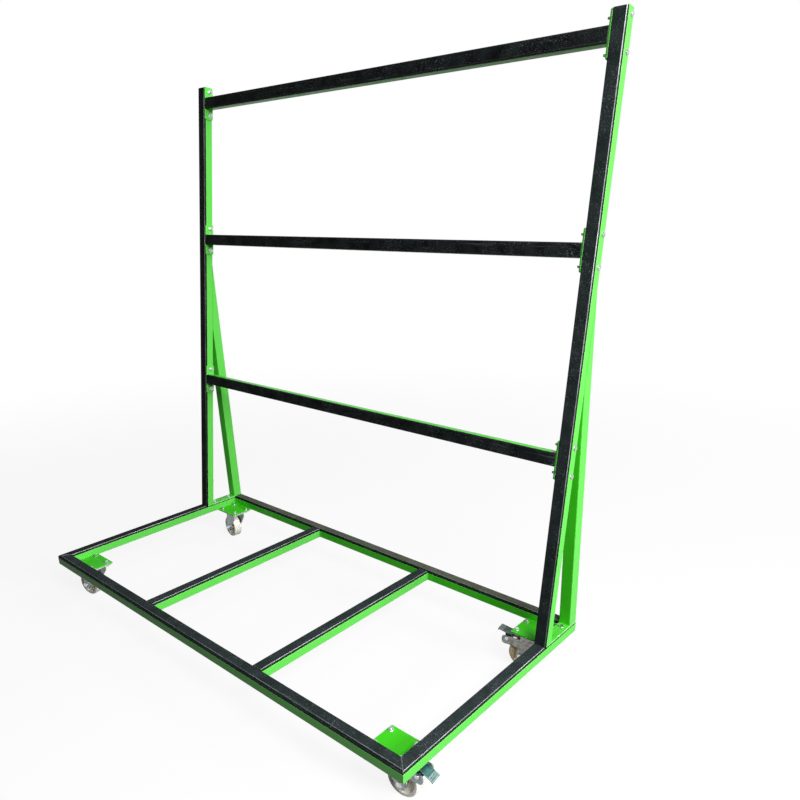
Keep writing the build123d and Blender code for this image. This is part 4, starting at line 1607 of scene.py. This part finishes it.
@dataclass
class Caster:
    """One swivel caster: plate with race and kingpin, fork, axle, wheel and, on the right, a brake."""

    corner: Corner
    steel: Finish = DULL_ZINC
    nylon: Finish = IVORY
    treadle: Finish = BLUE_ZINC
    zinc: Finish = BRIGHT_ZINC

    # Plate, race and kingpin
    plate_thick: float = 0.004
    plate_corner: float = 0.008
    race_radius: float = 0.030
    race_depth: float = 0.006
    race_rim: float = 0.001
    kingpin_radius: float = 0.006
    kingpin_head_radius: float = 0.011
    kingpin_rim: float = 0.002
    kingpin_face_share: float = 0.8
    kingpin_gap: float = 0.0003

    # Fork with its dish
    crown_top: float = 0.014
    crown_bottom: float = 0.018
    crown_half: float = 0.033
    skirt: float = 0.018
    skirt_corner: float = 0.004
    bend: float = 0.005
    sheet: float = 0.004
    fork_half: float = 0.027
    boss_radius: float = 0.017
    trail: float = 0.030
    axle_drop: float = 0.0885
    dish_radius: float = 0.0363
    dish_lip: float = 0.003
    dish_top: float = 0.006
    dish_floor: float = 0.0103
    corner_limit: float = 0.995

    # Wheel and axle
    wheel_radius: float = 0.0475
    wheel_half: float = 0.017
    hub_half: float = 0.0227
    hub_bore: float = 0.0061
    hub_radius: float = 0.014
    web_half: float = 0.006
    ring_radius: float = 0.024
    ring_width: float = 0.003
    ring_rise: float = 0.0025
    rim_depth: float = 0.011
    wheel_steps: int = 72
    sleeve_gap: float = 0.0001
    axle_radius: float = 0.005
    axle_hexagon: float = 0.017
    axle_head: float = 0.0064
    axle_nut: float = 0.008
    axle_end: float = 0.0025
    axle_bevel: float = 0.001

    # Brake: lugs of the fork, pin and pedal
    lug_drop: float = 0.030
    lug_height: float = 0.029
    lug_end: float = 0.0995
    lug_corner: float = 0.009
    lug_root: float = 0.006
    pivot: Pair = (0.0825, -0.039)
    pin_radius: float = 0.004
    pin_head_radius: float = 0.0065
    pin_head: float = 0.0025
    pin_dome: Pair = (0.6, 0.35)
    pressed: float = math.radians(28)
    raised: float = math.radians(10)
    treadle_root: float = -0.012
    treadle_reach: float = 0.040
    treadle_half: float = 0.017
    treadle_under: float = 0.013
    treadle_thick: float = 0.003
    treadle_corner: float = 0.003
    treadle_lip: float = 0.009
    lip_below: float = 0.0004
    trodden_from: float = 0.55
    rib_count: int = 4
    rib_pitch: float = 0.006
    rib_width: float = 0.002
    rib_rise: float = 0.001
    cheek_outer: float = 0.017
    cheek_thick: float = 0.004
    cheek_radius: float = 0.008
    cheek_corner: float = 0.0015
    cheek_inset: float = 0.002
    shoe_radius: float = 0.004
    shoe_gap: float = 0.0006

    # Broken edges, and how far one part of a piece reaches into the next
    edge: float = 0.0006
    pin_edge: float = 0.0005
    wheel_edge: float = 0.0008
    tread_edge: float = 0.0035
    rib_edge: float = 0.0008
    dish_edge: float = 0.0012
    turned_above: float = 30.0
    turned_steps: int = 28
    overlap: float = 0.0005

    @property
    def label(self) -> str:
        """First words of the caster's CAD nodes."""
        return self.corner.label

    @property
    def swivel(self) -> str:
        """CAD body that turns with the fork."""
        return f"{self.label}_swivel"

    @property
    def mount(self) -> Matrix:
        """Level frame at the middle of the mounting face."""
        low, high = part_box(f"{self.label}_caster_plate")
        return Matrix.Translation(((low.x + high.x) / 2, (low.y + high.y) / 2, high.z))

    @property
    def turned(self) -> Matrix:
        """The mount's frame turned so that x points the way the wheel trails.

        Returns:
            The turned frame.
        """
        joints = {joint["name"]: joint for joint in frame["joints"]}
        axle = joints[f"{self.label}_wheel_spin"]["axis"]
        return self.mount @ Matrix.Rotation(math.atan2(-axle[0], axle[1]), 4, "Z")

    @property
    def across(self) -> Matrix:
        """Turn that lays z across the fork."""
        return Matrix.Rotation(QUARTER_TURN, 4, "X")

    @property
    def axle_frame(self) -> Matrix:
        """Frame at the middle of the axle, z out of the bolt's head."""
        return self.turned @ Matrix.Translation((self.trail, 0, -self.axle_drop)) @ self.across

    @property
    def pivot_frame(self) -> Matrix:
        """Frame at the brake's pivot, x the way the wheel trails."""
        return self.turned @ Matrix.Translation((self.pivot[0], 0, self.pivot[1]))

    @property
    def treadle_top(self) -> float:
        """Height of the pedal's upper face over the pivot."""
        return self.treadle_under + self.treadle_thick

    @property
    def lip_half(self) -> float:
        """Half the width of the pedal's lip and ribs."""
        return self.treadle_half - self.treadle_corner

    def build(self) -> None:
        """Makes all pieces of the caster."""
        self.plate()
        self.fork()
        self.axle()
        self.wheel()
        if self.corner.braked:
            self.pin()
            self.pedal()

    def plate(self) -> None:
        """Makes the top plate with the upper race and the riveted kingpin."""
        node = f"{self.label}_caster_plate"
        low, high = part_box(node)
        plate = Blank().block((low.x, low.y, high.z - self.plate_thick), high)
        plate.soften(along(Z), self.plate_corner, segments=6, rubbed=0.0)
        plate.soften(sharper_than(), self.edge)
        foot = -self.plate_thick - self.race_depth
        head_top = -self.crown_bottom - self.kingpin_gap
        head_bottom = low.z - high.z
        race = Blank().turn(
            [
                (self.race_radius, -self.plate_thick + self.overlap),
                (self.race_radius, -self.plate_thick - self.race_rim),
                (self.race_radius - self.race_depth, foot),
                (self.kingpin_radius, foot),
                (self.kingpin_radius, head_top),
                (self.kingpin_head_radius, head_top),
                (self.kingpin_head_radius, head_top - self.kingpin_rim),
                (self.kingpin_head_radius * self.kingpin_face_share, head_bottom),
                (0.0, head_bottom),
            ]
        )
        race.soften(sharper_than(self.turned_above), self.edge, rubbed=0.4)
        plate.take(race, self.mount)
        plate.piece(f"{self.label}_mounting_plate", self.zinc, "frame", node)

    def boss_corner(self, skirt_x: float, side: int) -> Vector:
        """Finds where an edge from the skirt, laid against the axle boss, meets the boss's lowest level.

        Args:
            skirt_x: Where the edge leaves the skirt.
            side: 1 for the edge that passes behind the boss, -1 for the one in front.

        Returns:
            The corner, as x and z in the caster's frame.
        """
        skirt = Vector((skirt_x, -self.crown_top - self.skirt))
        to_axle = Vector((self.trail, -self.axle_drop)) - skirt
        lean = math.atan2(to_axle.y, to_axle.x) + side * math.asin(self.boss_radius / to_axle.length)
        drop = skirt.y + self.axle_drop + self.boss_radius
        return Vector((skirt.x - drop / math.tan(lean), skirt.y - drop))

    def leg_outline(self) -> list[tuple[Vector, float]]:
        """Works out the outline of the fork's side, from the front of the crown round.

        Returns:
            Each corner with its radius.
        """
        skirt = -self.crown_top - self.skirt
        front, rear = Vector((-self.crown_half, skirt)), Vector((self.crown_half, skirt))
        toe, heel = self.boss_corner(front.x, -1), self.boss_corner(rear.x, 1)
        corners = [
            (Vector((-self.crown_half, -self.crown_top)), 0.0),
            (front, self.skirt_corner),
            (toe, self.boss_radius),
            (heel, self.boss_radius),
        ]
        if self.corner.braked:
            edge = heel - rear
            lug_top, lug_bottom = -self.lug_drop, -self.lug_drop - self.lug_height
            corners += [
                (rear + edge * ((lug_bottom - rear.y) / edge.y), self.lug_root),
                (Vector((self.lug_end, lug_bottom)), self.lug_corner),
                (Vector((self.lug_end, lug_top)), self.lug_corner),
                (Vector((self.crown_half, lug_top)), self.skirt_corner),
            ]
        else:
            corners.append((rear, self.skirt_corner))
        return [*corners, (Vector((self.crown_half, -self.crown_top)), 0.0)]

    def fork(self) -> None:
        """Makes the fork: one bent sheet with a turned dish on its crown."""
        shell = Blank()
        outline = self.leg_outline()
        verts = [shell.mesh.verts.new((p.x, -self.fork_half, p.y)) for p, _ in outline]
        shell.mesh.faces.new(verts)
        for index, (vert, (point, radius)) in enumerate(zip(verts, outline)):
            if radius == 0.0:
                continue
            before, after = outline[index - 1][0] - point, outline[(index + 1) % len(outline)][0] - point
            reach = radius / math.tan(before.angle(after) / 2)
            limit = min(before.length, after.length)
            bmesh.ops.bevel(
                shell.mesh,
                geom=[vert],
                offset=min(reach, self.corner_limit * limit),
                offset_type="OFFSET",
                affect="VERTICES",
                segments=8,
                profile=0.5,
                material=-1,
                clamp_overlap=True,
            )
        moved = bmesh.ops.extrude_face_region(shell.mesh, geom=shell.mesh.faces[:])["geom"]
        moved_verts = [part for part in moved if isinstance(part, bmesh.types.BMVert)]
        bmesh.ops.translate(shell.mesh, verts=moved_verts, vec=Y * 2 * self.fork_half)
        self.open_fork(shell)
        shell.take(self.dish()).place(self.turned)
        shell.piece(f"{self.label}_bent_fork", self.steel, self.swivel, f"{self.label}_fork")

    def open_fork(self, shell: Blank) -> None:
        """Leaves crown and legs of the fork's solid as one bent sheet of even thickness.

        Args:
            shell: The solid.
        """
        mesh = shell.mesh
        bmesh.ops.recalc_face_normals(mesh, faces=mesh.faces[:])
        crown = [f for f in mesh.faces if all(abs(v.co.z + self.crown_top) < DOUBLE for v in f.verts)]
        legs = [f for f in mesh.faces if abs(f.normal.y) > PARALLEL]
        kept = set(crown + legs)
        bmesh.ops.delete(mesh, geom=[f for f in mesh.faces if f not in kept], context="FACES")
        shell.soften(sharper_than(), self.bend, segments=5, rubbed=0.4)
        bmesh.ops.solidify(mesh, geom=mesh.faces[:], thickness=self.sheet)

    def dish(self) -> Blank:
        """Makes the dish that stands round the race on the fork's crown.

        Returns:
            The dish in the caster's frame.
        """
        foot, inner = -self.crown_top - self.overlap, self.dish_radius - self.dish_lip
        profile = [
            (self.kingpin_radius, foot),
            (self.dish_radius, foot),
            (self.dish_radius, -self.dish_top),
            (inner, -self.dish_top),
            (inner, -self.dish_floor),
            (self.kingpin_radius, -self.dish_floor),
            (self.kingpin_radius, foot),
        ]
        return Blank().turn(profile).soften(sharper_than(), self.dish_edge, segments=3, rubbed=0.4)

    def axle(self) -> None:
        """Makes the axle bolt, its nut and the sleeve between the legs."""
        axle = Blank().hexagon(self.axle_hexagon, self.fork_half, self.fork_half + self.axle_head)
        nut_low = -self.fork_half - self.axle_nut
        axle.hexagon(self.axle_hexagon, nut_low, -self.fork_half, crowned=-1)
        tip, radius = nut_low - self.axle_end, self.axle_radius
        top = self.fork_half + self.axle_bevel
        shank = [
            (0.0, top),
            (radius, top),
            (radius, tip + self.axle_bevel),
            (radius - self.axle_bevel, tip),
            (0.0, tip),
        ]
        half = self.fork_half - self.sheet
        sleeve = both_ends([(0.0, half), (self.hub_bore - self.sleeve_gap, half)])
        for profile in (shank, sleeve):
            axle.take(Blank().turn(profile, self.turned_steps))
        axle.place(self.axle_frame)
        axle.piece(f"{self.label}_axle_bolt", self.zinc, self.swivel, f"{self.label}_axle")

    def wheel(self) -> None:
        """Makes the wheel: hub, ringed web and rim turned in one."""
        ring_top = self.web_half + self.ring_rise
        profile = [
            (self.hub_bore, self.hub_half),
            (self.hub_radius, self.hub_half),
            (self.hub_radius, self.web_half),
            (self.ring_radius - self.ring_width, self.web_half),
            (self.ring_radius - self.ring_width, ring_top),
            (self.ring_radius, ring_top),
            (self.ring_radius, self.web_half),
            (self.wheel_radius - self.rim_depth, self.web_half),
            (self.wheel_radius - self.rim_depth, self.wheel_half),
            (self.wheel_radius, self.wheel_half),
        ]
        wheel = Blank().turn([*both_ends(profile), profile[0]], self.wheel_steps)
        sharp, inside = sharper_than(), self.wheel_radius - NEAR
        wheel.soften(
            lambda edge: sharp(edge) and all(v.co.xy.length > inside for v in edge.verts),
            self.tread_edge,
            segments=4,
            rubbed=0.6,
        )
        wheel.soften(sharp, self.wheel_edge, rubbed=0.3)
        wheel.place(self.axle_frame)
        wheel.piece(f"{self.label}_nylon_wheel", self.nylon, f"{self.label}_roller", f"{self.label}_wheel")

    def pin(self) -> None:
        """Makes the brake's pin, riveted over outside the lugs."""
        face_share, edge_share = self.pin_dome
        outer = self.fork_half + self.pin_head
        profile = [
            (0.0, outer),
            (self.pin_head_radius * face_share, outer),
            (self.pin_head_radius, self.fork_half + self.pin_head * edge_share),
            (self.pin_head_radius, self.fork_half),
            (self.pin_radius, self.fork_half),
        ]
        pin = Blank().turn(both_ends(profile), self.turned_steps)
        pin.soften(sharper_than(self.turned_above), self.pin_edge)
        pin.place(self.pivot_frame @ self.across)
        pin.piece(f"{self.label}_treadle_pin", self.zinc, self.swivel, f"{self.label}_brake_pin")

    def pedal(self) -> None:
        """Makes the brake pedal, pressed on the front caster and raised on the rear one."""
        pedal = Blank()
        for part in (*self.foot_plate(), self.lip(), *self.ribs()):
            pedal.take(part)
        for level in (-self.cheek_outer, self.cheek_outer - self.cheek_thick):
            middle = Matrix.Translation((0, 0, level + self.cheek_thick / 2))
            pedal.take(self.cheek(), self.across @ middle)
        pedal.take(self.shoe(), self.across)
        press = self.pressed if self.corner is Corner.FRONT_RIGHT else -self.raised
        pedal.place(self.pivot_frame @ Matrix.Rotation(press, 4, "Y"))
        pedal.piece(
            f"{self.label}_treadle", self.treadle, f"{self.label}_pedal", f"{self.label}_brake_pedal"
        )

    def foot_plate(self) -> tuple[Blank, Blank]:
        """Makes the plate that a foot presses, with a painted highlight over its outer part.

        Returns:
            Its inner and its outer part.
        """
        half, reach = self.treadle_half, self.treadle_reach
        under, top, tip = self.treadle_under, self.treadle_top, reach * self.trodden_from
        inner = Blank().block((self.treadle_root, -half, under), (tip, half, top))
        outer = Blank().block((tip, -half, under), (reach, half, top))
        free = along(Z, lambda p: p.x > reach - NEAR)
        outer.soften(free, self.treadle_corner, segments=6, rubbed=0.0)
        # The outer part carries a painted highlight
        return inner.soften(sharper_than(), self.edge), outer.soften(sharper_than(), self.edge).rub(1.0)

    def lip(self) -> Blank:
        """Makes the lip bent down at the pedal's end.

        Returns:
            The lip.
        """
        end, top = self.treadle_reach, self.treadle_top
        lip = Blank().block(
            (end - self.treadle_thick, -self.lip_half, top - self.treadle_lip),
            (end, self.lip_half, top - self.lip_below),
        )
        # The lip carries a painted highlight
        return lip.soften(sharper_than(), self.rib_edge).rub(1.0)

    def ribs(self) -> Iterator[Blank]:
        """Makes the ribs across the pedal.

        Returns:
            Each rib, the one nearest to the pivot first.
        """
        top, half = self.treadle_top, self.rib_width / 2
        first = self.treadle_reach - self.treadle_corner - self.rib_pitch * (self.rib_count - 0.5)
        for index in range(self.rib_count):
            x = first + index * self.rib_pitch
            rib = Blank().block(
                (x - half, -self.lip_half, top - self.overlap),
                (x + half, self.lip_half, top + self.rib_rise),
            )
            yield rib.soften(along(Y, lambda p: p.z > top), self.rib_edge, segments=3)

    def cheek(self) -> Blank:
        """Makes a cheek that hangs the pedal on its pin.

        Returns:
            The cheek, its faces square to z.
        """
        reach, corner = -self.treadle_root - self.cheek_inset, self.cheek_corner
        return Blank().hull(
            self.cheek_thick,
            (0.0, 0.0, self.cheek_radius),
            (-reach, self.treadle_under, corner),
            (reach, self.treadle_under, corner),
        )

    def shoe(self) -> Blank:
        """Makes the brake's shoe, which comes to rest against the tread when the pedal is down.

        Returns:
            The shoe, its faces square to z.
        """
        to_axle = Vector((self.trail - self.pivot[0], -self.axle_drop - self.pivot[1]))
        reach = to_axle.length - self.wheel_radius - self.shoe_radius - self.shoe_gap
        angle = math.atan2(to_axle.y, to_axle.x) + self.pressed
        return Blank().hull(
            2 * self.cheek_outer - self.cheek_thick,
            (0.0, 0.0, self.cheek_radius),
            (reach * math.cos(angle), reach * math.sin(angle), self.shoe_radius),
        )


@dataclass(frozen=True)
class Lamp:
    """A soft box: where it hangs, what it points at, its width and its power."""

    name: str
    place: Point
    aim: Point
    width: float
    power: float

    def hang(self) -> None:
        """Hangs the lamp."""
        data = bpy.data.lights.new(self.name, "AREA")
        data.shape = "DISK"
        data.size = self.width
        data.energy = self.power
        way = Vector(self.aim) - Vector(self.place)
        turn = way.to_track_quat("-Z", "Y").to_matrix().to_4x4()
        linked(self.name, data).matrix_world = Matrix.Translation(self.place) @ turn


@dataclass
class Studio:
    """Plain pale floor, white surroundings, soft lamps and the camera at the photograph's angle."""

    image_size: float = 800.0
    focal_pixels: float = 713.519
    axis_row: float = 469.36
    yaw: float = math.radians(41.120)
    pitch: float = math.radians(-20.199)
    roll: float = math.radians(-0.881)
    eye_from_corner: Point = (2.69537, -1.01981, 1.27567)
    sensor: float = 36.0
    floor_half: float = 40.0
    floor_level: float = -0.0004
    floor_tones: Pair = (0.06, 0.88)
    floor_fade: Pair = (1.6, 5.0)
    floor_glow: Pair = (0.88, 1.0)
    ambient: float = 0.035
    lamps: tuple[Lamp, ...] = (
        Lamp("key_box", (9.0, 0.6, 3.4), (0.0, 0.0, 0.7), 3.6, 820.0),
        Lamp("rear_box", (1.2, 3.6, 4.2), (0.0, 0.0, 0.4), 2.4, 60.0),
        Lamp("front_box", (2.6, -0.9, 2.5), (0.3, 0.1, 0.5), 1.4, 98.0),
    )

    def build(self) -> None:
        """Sets up the studio."""
        bpy.context.scene.view_settings.view_transform = "Standard"
        self.floor()
        self.surroundings()
        for lamp in self.lamps:
            lamp.hang()
        self.camera()

    def seen_directly(self, nodes: Nodes) -> Socket:
        """Adds nodes that tell rays from camera, mirror or glass from light that falls on the cart.

        Args:
            nodes: Node tree to add them to.

        Returns:
            A value of one for such rays, zero for others.
        """
        path = nodes.add("ShaderNodeLightPath").outputs
        total = path["Is Camera Ray"]
        for name in ("Is Glossy Ray", "Is Transmission Ray"):
            total = nodes.combine("MAXIMUM", total, path[name])
        return total

    def floor(self) -> None:
        """Lays a pale floor that keeps the cart's shadow."""
        mesh = bmesh.new()
        level = Matrix.Translation((0, 0, self.floor_level))
        bmesh.ops.create_grid(mesh, size=self.floor_half, matrix=level)
        data = bpy.data.meshes.new("studio_floor")
        mesh.to_mesh(data)
        mesh.free()
        data.materials.append(self.floor_white())
        floor = linked("studio_floor", data)

    def floor_white(self) -> bpy.types.Material:
        """Mixes the floor's white: dark to the light that it throws on the cart, aglow to the eye.

        Returns:
            The material.
        """
        material = bpy.data.materials.new("studio_floor_white")
        material.use_nodes = True
        nodes = Nodes(material.node_tree)
        nodes.tree.nodes.clear()
        seen = self.seen_directly(nodes)
        paint = nodes.add("ShaderNodeBsdfDiffuse")
        nodes.join(nodes.spread(seen, (0.0, 1.0), self.floor_tones), paint.inputs["Color"])
        reach = nodes.add("ShaderNodeVectorMath", operation="LENGTH")
        nodes.join(nodes.add("ShaderNodeTexCoord").outputs["Object"], reach.inputs[0])
        glow = nodes.spread(reach.outputs["Value"], self.floor_fade, self.floor_glow, "SMOOTHSTEP")
        blend = nodes.add("ShaderNodeMixShader")
        nodes.join(nodes.product(seen, glow), blend.inputs["Fac"])
        nodes.join(paint.outputs["BSDF"], blend.inputs[1])
        nodes.join(nodes.add("ShaderNodeEmission").outputs["Emission"], blend.inputs[2])
        output = nodes.add("ShaderNodeOutputMaterial")
        nodes.join(blend.outputs["Shader"], output.inputs["Surface"])
        return material

    def surroundings(self) -> None:
        """Makes the surroundings white to look at, and a soft fill light on the cart."""
        world = bpy.data.worlds.new("studio_white")
        bpy.context.scene.world = world
        world.use_nodes = True
        nodes = Nodes(world.node_tree)
        background = nodes.tree.nodes["Background"].inputs
        background["Color"].default_value = (1.0, 1.0, 1.0, 1.0)
        level = nodes.spread(self.seen_directly(nodes), (0.0, 1.0), (self.ambient, 1.0))
        nodes.join(level, background["Strength"])

    def camera(self) -> None:
        """Sets the camera at the photograph's place and angle."""
        data = bpy.data.cameras.new("photo_camera")
        data.sensor_width = self.sensor
        data.lens = self.focal_pixels / self.image_size * self.sensor
        data.shift_y = (self.axis_row - self.image_size / 2) / self.image_size
        level = Vector((math.cos(self.yaw), math.sin(self.yaw), 0))
        ahead = Z.cross(level) * math.cos(self.pitch) + Z * math.sin(self.pitch)
        upright = level.cross(ahead)
        right = level * math.cos(self.roll) + upright * math.sin(self.roll)
        up = upright * math.cos(self.roll) - level * math.sin(self.roll)
        turn = Matrix((right, up, -ahead)).transposed().to_4x4()
        low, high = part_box("front_strip")
        eye = Vector((low.x, low.y, high.z)) + Vector(self.eye_from_corner)
        camera = linked("photo_camera", data)
        camera.matrix_world = Matrix.Translation(eye) @ turn
        bpy.context.scene.camera = camera


def main() -> None:
    """Builds the cart's sub-assemblies in order, then the studio."""
    logging.basicConfig(level=logging.INFO, format="%(message)s")
    strips = DeckStrips()
    back = BackFrame(strips)
    for assembly in (BaseFrame(), strips, back, Fasteners(back), WeldSeams(back)):
        assembly.build()
    for corner in Corner:
        # The rear-right caster takes darker copies of its finishes: dirt and yellowing, with painted shade
        # of its corner under the base
        shaded_copies = (AGED_SHADED_ZINC, TAN_SHADED_NYLON, DULL_SHADED_BLUE_ZINC) if corner is Corner.REAR_RIGHT else ()
        Caster(corner, *shaded_copies).build()
    Studio().build()


if __name__ == "__main__":
    main()
